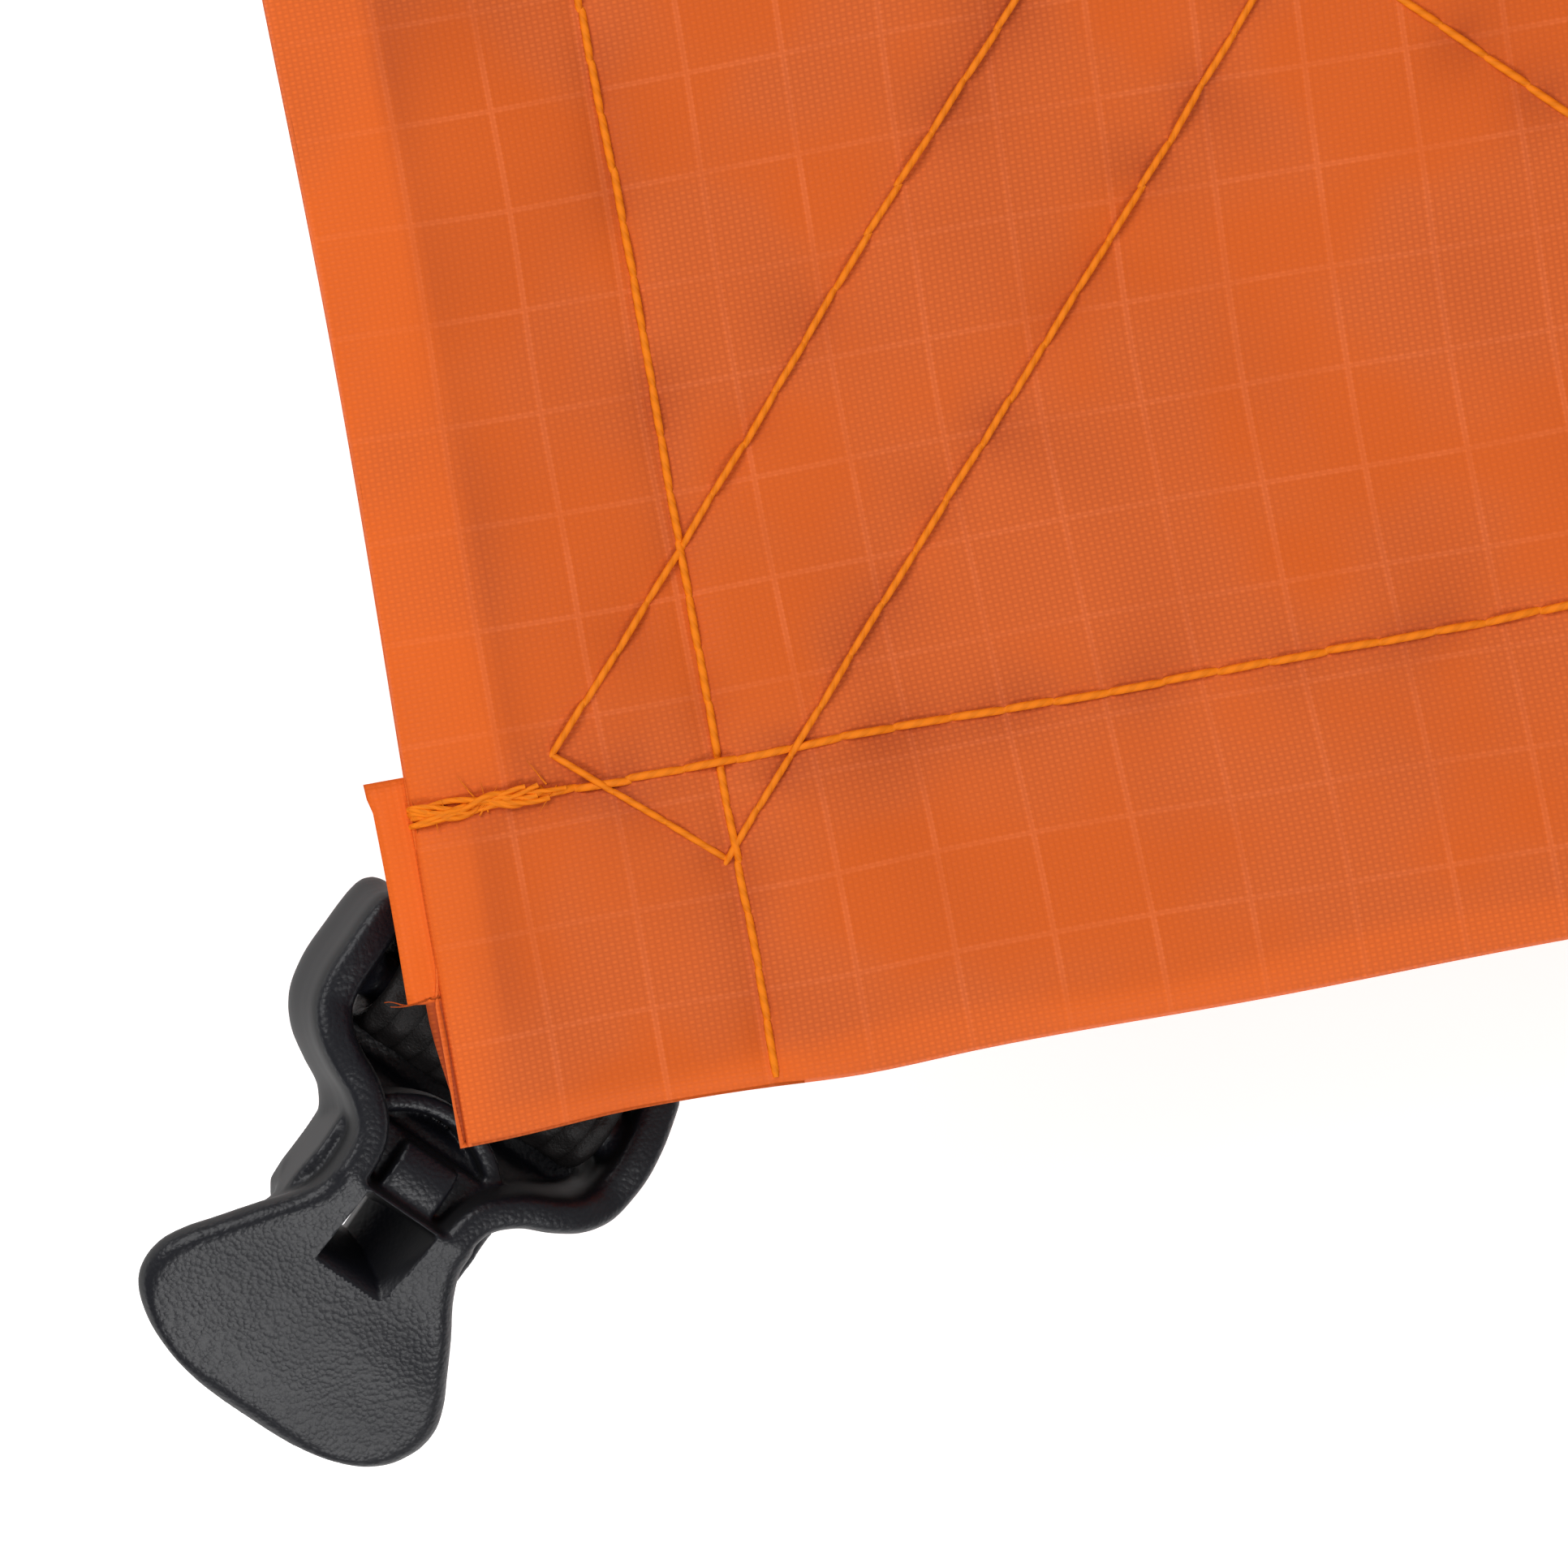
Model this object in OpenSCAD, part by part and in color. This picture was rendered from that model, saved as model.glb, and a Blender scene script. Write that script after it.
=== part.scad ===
// Stuff sack: a flat-cut ripstop sack lying on its back, with boxed bottom corners.
// Each bottom corner is stitched flat into a triangular ear that carries a webbing
// tie-out and a cord adjuster. The mouth is a stiffened roll-top with a side-release buckle.
// Y runs from the bottom edge to the mouth, Z is up, the origin is the middle of the rest face.

/* [Sack] */
// Width of the sack laid flat, edge to edge
sack_w = 280; // [240:5:360]
// Length from the bottom edge to the mouth edge
sack_l = 440; // [380:5:600]
// Width of the stitched flange along the sides and the bottom
hem_w = 17; // [14:0.5:22]
// Leg of the triangular ear that boxes each bottom corner
ear_leg = 106; // [96:1:116]
// Height of the side seams above the surface that the sack lies on
seam_h = 28; // [24:1:40]
// Height of the side seams at the mouth
mouth_h = 13; // [10:1:20]
// How far the front panel stands above the seams
front_loft = 30; // [20:1:50]
// How far the front lip stands above the seams at the mouth
mouth_loft = 16; // [10:1:24]
// Thickness of each outer panel
panel_t = 0.8; // [0.6:0.1:1.2]
// Thickness of each turned-in layer and patch
lining_t = 0.3; // [0.2:0.05:0.5]
// Distance from the bottom edge at which the seams start to sink towards the mouth
sag_start = 230; // [180:5:260]

/* [Fullness] */
// Distance over which a panel rises from its side seams
side_rise = 100; // [70:5:120]
// Distance over which a panel rises from the bottom seam
bottom_rise = 110; // [80:5:140]
// Distance over which a panel rises from an ear
corner_rise = 80; // [60:5:110]

/* [Mouth] */
// Depth of the faced band around the mouth
mouth_band = 25; // [20:1:35]
// Thickness of the stiffener in each lip
stiffener_t = 0.7; // [0.4:0.1:1.2]

/* [Stitching] */
// Distance of the side topstitch from the side edge
side_stitch = 15.6; // [12:0.2:16]
// Distance of the bottom topstitch from the bottom edge
bottom_stitch = 16.4; // [12:0.2:16.5]
// Distance of the ear stitch inside the ear's crease, along a leg
ear_stitch_inset = 2.6; // [2:0.2:5]
// Width of a stitched line of thread
thread_w = 0.5; // [0.3:0.05:0.8]
// Height of a stitched line of thread
thread_t = 0.15; // [0.1:0.05:0.3]

/* [Tie-out] */
// Width of the webbing
web_w = 14; // [12:0.2:15]
// Thickness of the webbing
web_t = 1.1; // [0.8:0.1:1.4]
// Angle of the tie-out from the bottom edge
tie_angle = 48.1; // [42:0.1:50]
// Distance of the sewing bar from the side edge
bar_side = 1.8; // [0:0.1:6]
// Distance of the sewing bar from the bottom edge
bar_bottom = 4.3; // [2:0.1:8]
// How far the sewing bar hangs below the seams
bar_drop = 8.6; // [8.2:0.1:10]
// Distance from the sewing bar to the box stitch
web_lead = 14.2; // [12:0.1:18]
// Distance from the end of the webbing to the ear's crease
ear_margin = 2.6; // [1.5:0.1:8]
// Width of the box stitch across the web
box_w = 10; // [8:0.5:12]
// Webbing past the far end of the box stitch
web_margin = 2.5; // [1.5:0.5:4]

/* [Cord adjuster] */
// Radius of the sewing bar
bar_r = 1.2; // [1:0.05:1.5]
// Height of the moulded frame over its lobes
frame_h = 5; // [4:0.25:6]
// How far the frame's waist stands above its lobes
crown = 1.2; // [0:0.1:1.6]
// Width of the lip round the frame
lip_w = 1.85; // [1.5:0.05:2.4]
// Thickness of the paddle
paddle_t = 1.8; // [1.4:0.1:2.4]
// Length of the paddle from the bridge to its end
paddle_l = 13.2; // [12:0.1:16]
// Half width of the paddle near its end
paddle_half = 8.8; // [7:0.1:10]
// How far the paddle droops from the plane of the frame
paddle_droop = 14.5; // [0:0.5:18]
// Length of the cord hole in the paddle
hole_l = 4.8; // [4:0.1:5.4]
// Width of the cord hole in the paddle
hole_w = 4.2; // [3.4:0.1:4.8]
// How far the adjuster rolls about its long axis in the loop
adjuster_roll = 17; // [0:1:20]
// How far the adjuster turns sideways in the loop
adjuster_yaw = 3.2; // [0:0.2:4]

/* [Buckle] */
// Thickness of the side of each buckle half beside the webbing
buckle_side = 3.2; // [2.6:0.1:4.5]
// Height of the socket
socket_h = 7.6; // [7:0.1:9]
// Length of the socket from its bar
socket_l = 24; // [22:0.5:28]
// Height of the plug's base
plug_h = 6.4; // [5.6:0.1:7.4]
// Height of the plug's prongs
prong_h = 4.2; // [3.6:0.1:4.6]
// Length of the plug from its bar to the prong tips
plug_l = 31; // [30:0.5:34]
// Radius of the buckle bars
buckle_bar_r = 1.4; // [1.2:0.05:1.6]
// Distance of each buckle bar from the sack's edge
buckle_reach = 13; // [10:0.5:18]
// Distance of each buckle web from the mouth edge
buckle_inset = 5; // [3:0.5:8]

/* [Clearances] */
// Gap between sewn layers
layer_gap = 0.1; // [0.05:0.05:0.2]
// Gap between webbing and the bar that it goes round
loop_gap = 0.3; // [0.2:0.05:0.4]
// Gap between a prong and the socket's wall
prong_gap = 0.3; // [0.2:0.05:0.4]

/* [Hidden] */
$fn = 48;

cloth_orange = [0.86, 0.40, 0.19];
cloth_inner = [0.78, 0.34, 0.14];
thread_orange = [0.95, 0.52, 0.12];
web_black = [0.06, 0.06, 0.06];
plastic_black = [0.11, 0.11, 0.12];

half_w = sack_w / 2;
lap = 0.02;                       // overlap that joins pieces of one solid
fold_step = 6;                    // first fold line inside a crease
fold_cells = 4;                   // cells between the first and last inner fold lines
long_rows = 12;                   // rows of cells from the ears to the mouth band
fold_start = hem_w + fold_step;
fold_end = ear_leg - hem_w - fold_step;

// Layer levels above the mid-surface of the seam
lining_low = layer_gap / 2;
panel_low = lining_low + lining_t + layer_gap;
panel_top = panel_low + panel_t;
patch_top = -panel_top - layer_gap;
web_top = patch_top - lining_t - layer_gap;
stitch_step = thread_t + 0.05;
side_thread_z = panel_top + 0.05;
bottom_thread_z = side_thread_z + stitch_step;
corner_thread_z = bottom_thread_z + stitch_step;
tie_thread_z = corner_thread_z + stitch_step;

// Fold lines: measured from an edge, and paired so that x + y = ear_leg meets them
edge_lines = concat(
    [0, hem_w],
    [for (i = [0:fold_cells]) fold_start + i * (fold_end - fold_start) / fold_cells],
    [ear_leg - hem_w, ear_leg]
);
side_lines = concat(edge_lines, [(ear_leg + half_w) / 2]);
last_side = len(side_lines) - 1;
sack_xs = concat(
    [for (s = side_lines) s - half_w],
    [0],
    [for (i = [last_side:-1:0]) half_w - side_lines[i]]
);
band_y = sack_l - mouth_band;
sack_ys = concat(
    edge_lines,
    [for (i = [1:long_rows]) ear_leg + i * (band_y - ear_leg) / long_rows],
    [band_y + mouth_band / 2, sack_l]
);
inner_xs = [for (x = sack_xs) if (abs(x) <= half_w - fold_start + lap) x];
band_ys = [for (y = sack_ys) if (y >= band_y - lap) y];
flat_mouth = mouth_band + 5;      // length at the mouth over which the seams run level

// Heights
function clamp01(t) = min(1, max(0, t));
function smooth(t) = let (c = clamp01(t)) c * c * (3 - 2 * c);
function sag(y) = smooth((y - sag_start) / (sack_l - flat_mouth - sag_start));
function seam_z(y) = seam_h - (seam_h - mouth_h) * sag(y);
function short_of(d, rise) = max(0, 1 - d / rise);
function ear_distance(x, y) = (half_w - abs(x) + y - ear_leg) / sqrt(2);
function pinch(x, y) = min(1, pow(
    pow(short_of(half_w - hem_w - abs(x), side_rise), 3)
    + pow(short_of(y - hem_w, bottom_rise), 3)
    + pow(short_of(ear_distance(x, y), corner_rise), 3), 1 / 3));
function in_bag(x, y) = abs(x) < half_w - hem_w && y > hem_w && ear_distance(x, y) > 0;
function fullness(x, y) = in_bag(x, y) ? 1 - pow(pinch(x, y), 2) : 0;
function front_rise(y) = front_loft - (front_loft - mouth_loft) * sag(y);
back_press = 1.35;                // how soon the back panel meets the floor
function back_fall(x, y) = min(seam_z(y) - panel_top, back_press * seam_z(y) * fullness(x, y));
function layer_z(face, x, y) = seam_z(y)
    + (face > 0 ? front_rise(y) * fullness(x, y) : face < 0 ? -back_fall(x, y) : 0);

// Everything is laid out from the bottom edge, then centred
module placed() {
    translate([0, -sack_l / 2, 0]) children();
}

// One cell of a cloth face as two triangles, cut along the ear's crease
function cell(a, b, c, d, falling) = falling ? [[a, b, d], [b, c, d]] : [[a, b, c], [a, c, d]];
function flipped(f) = [for (i = [len(f) - 1:-1:0]) f[i]];

// A layer of cloth over a grid of fold lines, on the front, the back or the seam
module cloth(xs, ys, face, low, thick) {
    nx = len(xs);
    ny = len(ys);
    count = nx * ny;
    points = [
        for (lift = [low, low + thick]) for (y = ys) for (x = xs)
            [x, y, layer_z(face, x, y) + lift]
    ];
    under = [
        for (j = [0:ny - 2]) for (i = [0:nx - 2])
            let (a = j * nx + i, falling = xs[i] < -lap && xs[i + 1] <= lap)
            for (f = cell(a, a + 1, a + nx + 1, a + nx, falling)) f
    ];
    over = [for (f = under) flipped([for (v = f) v + count])];
    ends = [
        for (i = [0:nx - 2]) let (a = i, b = (ny - 1) * nx + i)
            for (f = [[a, a + count, a + count + 1, a + 1], [b + 1, b + 1 + count, b + count, b]]) f
    ];
    sides = [
        for (j = [0:ny - 2]) let (a = j * nx, b = j * nx + nx - 1)
            for (f = [[a + nx, a + nx + count, a + count, a], [b, b + count, b + nx + count, b + nx]]) f
    ];
    polyhedron(points, concat(under, over, ends, sides));
}

// ---- Outer panels ----

rest_half_w = 58;                 // half width of the plain rest face
rest_half_l = 110;                // half length of the plain rest face

module front_panel() {
    color(cloth_orange) placed() cloth(sack_xs, sack_ys, 1, panel_low, panel_t);
}

module back_panel() {
    color(cloth_orange) union() {
        placed() cloth(sack_xs, sack_ys, -1, -panel_top, panel_t);
        translate([-rest_half_w, -rest_half_l, 0])
            cube([2 * rest_half_w, 2 * rest_half_l, panel_t]);
    }
}

// ---- Turned-in hems ----

edge_inset = 0.3;                 // how far a turned-in layer stays inside the fold
tab_out = 1.4;                    // how far the bottom hem's end shows past the side
tab_low = 7.5;
tab_high = 18.6;

module side_hem(side) {
    color(cloth_inner) placed() mirror([side > 0 ? 1 : 0, 0, 0])
        cloth([edge_inset - half_w, hem_w - 2 * edge_inset - half_w], sack_ys, 0, lining_low, lining_t);
}

module bottom_hem() {
    outline = [
        [edge_inset - half_w, edge_inset], [half_w - edge_inset, edge_inset],
        [half_w - edge_inset, tab_low], [half_w + tab_out, tab_low],
        [half_w + tab_out, tab_high], [-half_w - tab_out, tab_high],
        [-half_w - tab_out, tab_low], [edge_inset - half_w, tab_low]
    ];
    color(cloth_inner) placed() translate([0, 0, seam_h - lining_low - lining_t])
        linear_extrude(lining_t) polygon(outline);
}

// ---- Ears: patch, tie-out web, adjuster ----

// The frame of a bottom corner: x inwards, y towards the mouth, z from the seam
module at_corner(side) {
    placed() mirror([side > 0 ? 1 : 0, 0, 0]) translate([-half_w, 0, seam_h]) children();
}

// The frame of a tie-out: x towards the paddle, y across, origin above the sewing bar
module on_tie_line() {
    translate([bar_side, bar_bottom, 0]) rotate([0, 0, 180 + tie_angle]) children();
}

// The frame of an adjuster at its sewing bar
module at_bar() {
    translate([0, 0, -bar_drop]) rotate([0, 0, -adjuster_yaw]) rotate([-adjuster_roll, 0, 0]) children();
}

module corner_patch(side) {
    leg = ear_leg - edge_inset;
    color(cloth_inner) at_corner(side) translate([0, 0, patch_top - lining_t])
        linear_extrude(lining_t)
        polygon([[edge_inset, edge_inset], [leg - edge_inset, edge_inset], [edge_inset, leg - edge_inset]]);
}

// A bar's web loop: the half ring on the far side of the bar, with a short straight leg on each end
module loop(inner, outer, width) {
    rotate([90, 0, 0]) difference() {
        union() {
            cylinder(r = outer, h = width, center = true);
            translate([-loop_leg, -outer, -width / 2]) cube([loop_leg, 2 * outer, width]);
        }
        cylinder(r = inner, h = width + 1, center = true);
        translate([-loop_leg - 1, -inner, -width]) cube([loop_leg + 1, 2 * inner, 2 * width]);
        translate([-loop_leg - outer, -outer - 1, -width]) cube([outer, 2 * outer + 2, 2 * width]);
    }
}

web_room = 1.05;                  // room beside the webbing in the frame
lobe_inner = web_w / 2 + web_room;
lobe_half = lobe_inner + lip_w;   // half width of the frame over the lobes
bar_from_crease = ear_leg / sqrt(2) - norm([bar_side, bar_bottom]);
box_len = bar_from_crease - web_lead - web_margin - ear_margin;
loop_in = bar_r + loop_gap;
loop_out = loop_in + web_t;
sewn_start = web_lead - 1.5;      // the sewn length starts just before the box stitch
sewn_len = box_len + 1.5 + web_margin;
loop_leg = 1;                     // straight length on each end of a loop
slab = 0.5;                       // thickness of the slices that the link is drawn between
weld = 0.04;                      // how far a slice stays inside the piece that it joins

module link_end(z) {
    translate([0, -web_w / 2 + weld, z + weld]) cube([slab, web_w - 2 * weld, web_t - 2 * weld]);
}

// One free layer of webbing from the sewn length to the loop
module web_link(sewn_z, loop_z) {
    hull() {
        translate([-sewn_start - slab, 0, 0]) link_end(sewn_z);
        at_bar() translate([-loop_leg, 0, 0]) link_end(loop_z);
    }
}

module tie_web(side) {
    color(web_black) at_corner(side) on_tie_line() union() {
        translate([-sewn_start - sewn_len, -web_w / 2, web_top - 2 * web_t])
            cube([sewn_len, web_w, 2 * web_t]);
        web_link(web_top - web_t, loop_in);
        web_link(web_top - 2 * web_t, -loop_out);
        at_bar() loop(loop_in, loop_out, web_w);
    }
}

// Outline with each corner [x, y, r] rounded to radius r
arc_steps = 8;
function unit(v) = v / norm(v);
function round_corner(p, a, b) = let (
        c = [p.x, p.y],
        ua = unit([a.x, a.y] - c), ub = unit([b.x, b.y] - c),
        half = acos(ua * ub) / 2,
        centre = c + unit(ua + ub) * p[2] / sin(half),
        from = c + ua * p[2] / tan(half) - centre,
        to = c + ub * p[2] / tan(half) - centre,
        start = atan2(from.y, from.x),
        turn = ((atan2(to.y, to.x) - start + 540) % 360) - 180
    ) [for (i = [0:arc_steps]) centre + p[2] * [cos(start + turn * i / arc_steps), sin(start + turn * i / arc_steps)]];
function rounded(pts) = let (n = len(pts)) [
    for (i = [0:n - 1])
        for (q = pts[i][2] > 0
            ? round_corner(pts[i], pts[(i + n - 1) % n], pts[(i + 1) % n]) : [[pts[i].x, pts[i].y]]) q
];
// The other half of an outline, from its last point back to its first
function both_halves(pts) = concat(pts, [for (i = [len(pts) - 1:-1:0]) [pts[i].x, -pts[i].y, pts[i][2]]]);

horn_end = 4.8;                   // frame behind the sewing bar
shoulder = 3.6;                   // where the lobes turn in
waist_at = 6.3;
waist_half = 4.3;
foot_half = 5.1;                  // half width of the frame's foot at the waist
foot_top = 0.6;                   // height of the foot's step
foot_end = 11.8;
crown_start = 6;                  // where the waist reaches its full height
crown_z = frame_h / 2 + crown;    // top of the waist
horn_slope = 0.6;                 // how far the frame's top falls to the horns
floor_at = 3.05;                  // where the frame's thin floor starts
floor_t = 0.8;
lip_h = 0.8;                      // how far the lip stands above the bridge
bridge_start = 5.5;
slot_half = 3.4;                  // half width of the cord slot where it meets the bridge
channel_half = 2.5;               // half width between the lips at the bridge
arc_bar_r = 5;
arc_bar_w = 1;
arc_bar_low = -1;
arc_bar_h = 2.2;
arc_bar_front = loop_out + 0.5;  // crown of the curved cord bar

module frame_outline(half) {
    polygon(rounded(both_halves([
        [-horn_end, lobe_half, 1.2], [shoulder, lobe_half, 3.4],
        [waist_at, half, 1.6], [foot_end, half - 0.1, 1.5]
    ])));
}

module web_opening() {
    polygon(rounded(both_halves([
        [-horn_end - 2, lobe_inner, 0], [loop_out + 0.5, lobe_inner, 1], [bridge_start, slot_half, 0.8]
    ])));
}

module paddle_outline() {
    polygon(rounded(both_halves([
        [0, waist_half, 0], [1, waist_half, 3.5], [paddle_l - 4.4, paddle_half, 1.6],
        [paddle_l - 2.2, paddle_half - 0.4, 1.8], [paddle_l, 2.5, 5]
    ])));
}

module arc_bar() {
    centre = arc_bar_front + arc_bar_r;
    intersection() {
        translate([centre, 0, arc_bar_low]) difference() {
            cylinder(r = arc_bar_r, h = arc_bar_h);
            translate([0, 0, -1]) cylinder(r = arc_bar_r - arc_bar_w, h = arc_bar_h + 2);
        }
        translate([0, -lobe_half, arc_bar_low - 1]) cube([bridge_start + 0.2, 2 * lobe_half, arc_bar_h + 2]);
    }
}

paddle_root = 8.8;                // where the paddle leaves the frame

// The frame's rise from the horns over the lobes to the waist, seen from the side
module side_profile() {
    fall = (foot_end + 1 - paddle_root) * tan(paddle_droop) + paddle_t / 2;
    polygon(rounded([
        [-horn_end - 1, -frame_h / 2, 0], [foot_end + 1, -frame_h / 2, 0], [foot_end + 1, crown_z - fall, 0],
        [paddle_root, crown_z, 0], [crown_start, crown_z, 4], [shoulder - 1, frame_h / 2, 6],
        [-horn_end - 1, frame_h / 2 - horn_slope, 0]
    ]));
}

module frame_layer(height, half) {
    translate([0, 0, -frame_h / 2]) linear_extrude(height) difference() {
        frame_outline(half);
        web_opening();
    }
}

module frame_floor() {
    translate([0, 0, -frame_h / 2]) linear_extrude(floor_t) intersection() {
        frame_outline(foot_half);
        translate([floor_at, -lobe_half]) square([bridge_start - floor_at + 1, 2 * lobe_half]);
    }
}

module adjuster_solid() {
    difference() {
        union() {
            intersection() {
                union() {
                    frame_layer(frame_h + crown, waist_half);
                    frame_layer(frame_h / 2 + foot_top, foot_half);
                }
                rotate([90, 0, 0]) linear_extrude(2 * lobe_half + 2, center = true) side_profile();
            }
            frame_floor();
            arc_bar();
            rotate([90, 0, 0]) cylinder(r = bar_r, h = 2 * (lobe_inner + lip_w / 3), center = true);
            translate([paddle_root, 0, crown_z]) rotate([0, paddle_droop, 0])
                translate([0, 0, -paddle_t]) linear_extrude(paddle_t) paddle_outline();
        }
        translate([bridge_start - 0.5, -channel_half, crown_z - lip_h])
            cube([paddle_root - bridge_start + 0.6, 2 * channel_half, lip_h + 1]);
        translate([paddle_root, -hole_w / 2, -frame_h]) cube([hole_l, hole_w, 2 * frame_h + crown]);
    }
}

module adjuster(side) {
    color(plastic_black) at_corner(side) on_tie_line() at_bar() adjuster_solid();
}

// ---- Mouth ----

module mouth_facing(face) {
    low = face > 0 ? -panel_low - lining_t : panel_low;
    color(cloth_inner) placed() cloth(inner_xs, band_ys, face, low, lining_t);
}

module stiffener(face) {
    color(web_black) placed() cloth(inner_xs, band_ys, face, -stiffener_t / 2, stiffener_t);
}

// ---- Buckle ----

buckle_y = sack_l - buckle_inset - web_w / 2;
buckle_loop_in = buckle_bar_r + loop_gap;
buckle_loop_out = buckle_loop_in + web_t;
flange_start = 1;                 // where the sewn web starts, from the sack's edge
flange_end = side_stitch - 0.8;

// The frame of a buckle half at its bar: x away from the sack, y along the mouth edge's normal
module at_buckle(side) {
    placed() mirror([side < 0 ? 1 : 0, 0, 0])
        translate([half_w + buckle_reach, buckle_y, mouth_h]) children();
}

// One layer of a buckle web: sewn on the flange, then sloping to the loop's radius
module buckle_web_layer() {
    near = panel_top + layer_gap;
    translate([0, web_w / 2, 0]) rotate([90, 0, 0]) linear_extrude(web_w) polygon([
        [-buckle_reach - flange_end, near], [-buckle_reach, near], [-loop_leg, buckle_loop_in],
        [-loop_leg / 2, buckle_loop_in], [-loop_leg / 2, buckle_loop_out], [-loop_leg, buckle_loop_out],
        [-buckle_reach, near + web_t], [-buckle_reach - flange_end, near + web_t]
    ]);
}

module buckle_web(side) {
    color(web_black) at_buckle(side) union() {
        buckle_web_layer();
        mirror([0, 0, 1]) buckle_web_layer();
        loop(buckle_loop_in, buckle_loop_out, web_w);
    }
}

socket_side = 1.6;                // thickness of the socket's side walls
socket_step = 4;                  // solid length behind the socket's cavity
window_back = 13;                 // from the socket's mouth to the back of each side window
buckle_half = web_w / 2 + loop_gap + buckle_side;
ear_w = buckle_side;
ear_l = buckle_loop_out + 2;
cavity_l = socket_l - ear_l - socket_step;
window_start = socket_l - window_back;
window_l = 6;

module buckle_base(height, length) {
    translate([0, 0, -height / 2]) linear_extrude(height) difference() {
        polygon(rounded(both_halves([
            [-buckle_bar_r, buckle_half, 1.2], [length, buckle_half, 1.6]
        ])));
        translate([-buckle_bar_r - 1, ear_w - buckle_half]) square([buckle_bar_r + 1 + ear_l, 2 * (buckle_half - ear_w)]);
    }
    rotate([90, 0, 0]) cylinder(r = buckle_bar_r, h = 2 * (buckle_half - ear_w / 2), center = true);
}

module buckle_socket() {
    cavity_half = buckle_half - socket_side;
    cavity_h = prong_h + 2 * prong_gap;
    color(plastic_black) at_buckle(-1) difference() {
        buckle_base(socket_h, socket_l);
        translate([socket_l - cavity_l, -cavity_half, -cavity_h / 2]) cube([cavity_l + 1, 2 * cavity_half, cavity_h]);
        translate([window_start, -buckle_half - 1, -cavity_h / 2]) cube([window_l, 2 * buckle_half + 2, cavity_h]);
    }
}

prong_root = 11.5;
prong_w = 2.8;

module prong() {
    outer = buckle_half - socket_side - prong_gap;
    tip = plug_l;
    translate([0, 0, -prong_h / 2]) linear_extrude(prong_h) polygon([
        [prong_root - 1, outer - prong_w], [prong_root - 1, outer - 0.6], [prong_root + 3, outer - 0.6],
        [prong_root + 7, outer], [tip - 6, outer], [tip - 5, outer - 1.4], [tip, outer - 3.4],
        [tip, outer - prong_w - 2], [tip - 3, outer - prong_w - 1.2], [prong_root + 4, outer - prong_w - 0.4]
    ]);
}

module buckle_plug() {
    color(plastic_black) at_buckle(1) union() {
        buckle_base(plug_h, prong_root);
        prong();
        mirror([0, 1, 0]) prong();
        translate([prong_root - 1, -1.4, -prong_h / 2]) cube([plug_l - prong_root - 4, 2.8, prong_h]);
    }
}

// ---- Thread ----

// A closed rectangle of thread on the frame's plane, from x0 to x1
module box_thread(x0, x1, width) {
    linear_extrude(thread_t) difference() {
        translate([x0, -width / 2]) square([x1 - x0, width]);
        translate([x0 + thread_w, -width / 2 + thread_w]) square([x1 - x0 - 2 * thread_w, width - 2 * thread_w]);
    }
}

module side_stitching() {
    color(thread_orange) placed() for (side = [0, 1]) mirror([side, 0, 0])
        cloth([side_stitch - thread_w / 2 - half_w, side_stitch + thread_w / 2 - half_w],
            sack_ys, 0, side_thread_z, thread_t);
}

module bottom_stitching() {
    tack_l = 7.5;
    color(thread_orange) placed() translate([0, bottom_stitch, seam_h + bottom_thread_z]) {
        translate([-half_w, -thread_w / 2, 0]) cube([sack_w, thread_w, thread_t]);
        for (side = [0, 1]) mirror([side, 0, 0])
            translate([-half_w, -thread_w, 0]) cube([tack_l, 2 * thread_w, thread_t]);
    }
}

module corner_stitching() {
    reach = ear_leg - ear_stitch_inset;
    color(thread_orange) for (side = [-1, 1]) at_corner(side)
        translate([0, 0, corner_thread_z]) linear_extrude(thread_t) polygon([
            [0.5, reach - 0.5], [reach - 0.5, 0.5], [reach - 0.5 - thread_w, 0.5], [0.5, reach - 0.5 - thread_w]
        ]);
}

module tie_stitching() {
    color(thread_orange) for (side = [-1, 1]) at_corner(side) on_tie_line()
        translate([0, 0, tie_thread_z]) box_thread(-web_lead - box_len, -web_lead, box_w);
}

module mouth_stitching() {
    thread_ys = [band_y + 1, band_y + 1 + thread_w];
    color(thread_orange) placed() {
        cloth(inner_xs, thread_ys, 1, side_thread_z, thread_t);
        cloth(inner_xs, thread_ys, -1, panel_low + lining_t + layer_gap, thread_t);
    }
}

module buckle_stitching() {
    color(thread_orange) for (side = [-1, 1]) at_buckle(side)
        translate([0, 0, panel_top + layer_gap + web_t + 0.05])
        box_thread(-buckle_reach - flange_end + 2, -buckle_reach - flange_start - 1, box_w);
}

front_panel();
back_panel();
side_hem(-1);  // side_hem_left
side_hem(1);  // side_hem_right
bottom_hem();
corner_patch(-1);  // corner_patch_left
corner_patch(1);  // corner_patch_right
tie_web(-1);  // tie_web_left
tie_web(1);  // tie_web_right
adjuster(-1);  // adjuster_left
adjuster(1);  // adjuster_right
mouth_facing(1);  // mouth_facing_front
mouth_facing(-1);  // mouth_facing_back
stiffener(1);  // stiffener_front
stiffener(-1);  // stiffener_back
buckle_web(-1);  // buckle_web_left
buckle_web(1);  // buckle_web_right
buckle_socket();
buckle_plug();
side_stitching();
bottom_stitching();
corner_stitching();
tie_stitching();
mouth_stitching();
buckle_stitching();
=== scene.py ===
"""Stuff sack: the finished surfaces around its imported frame.

Every piece is a numpy surface laid out in millimetres, with x across the sack, y from the
bottom edge to the mouth and z up, and goes into the frame in metres.
"""

import math
from types import SimpleNamespace

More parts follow.
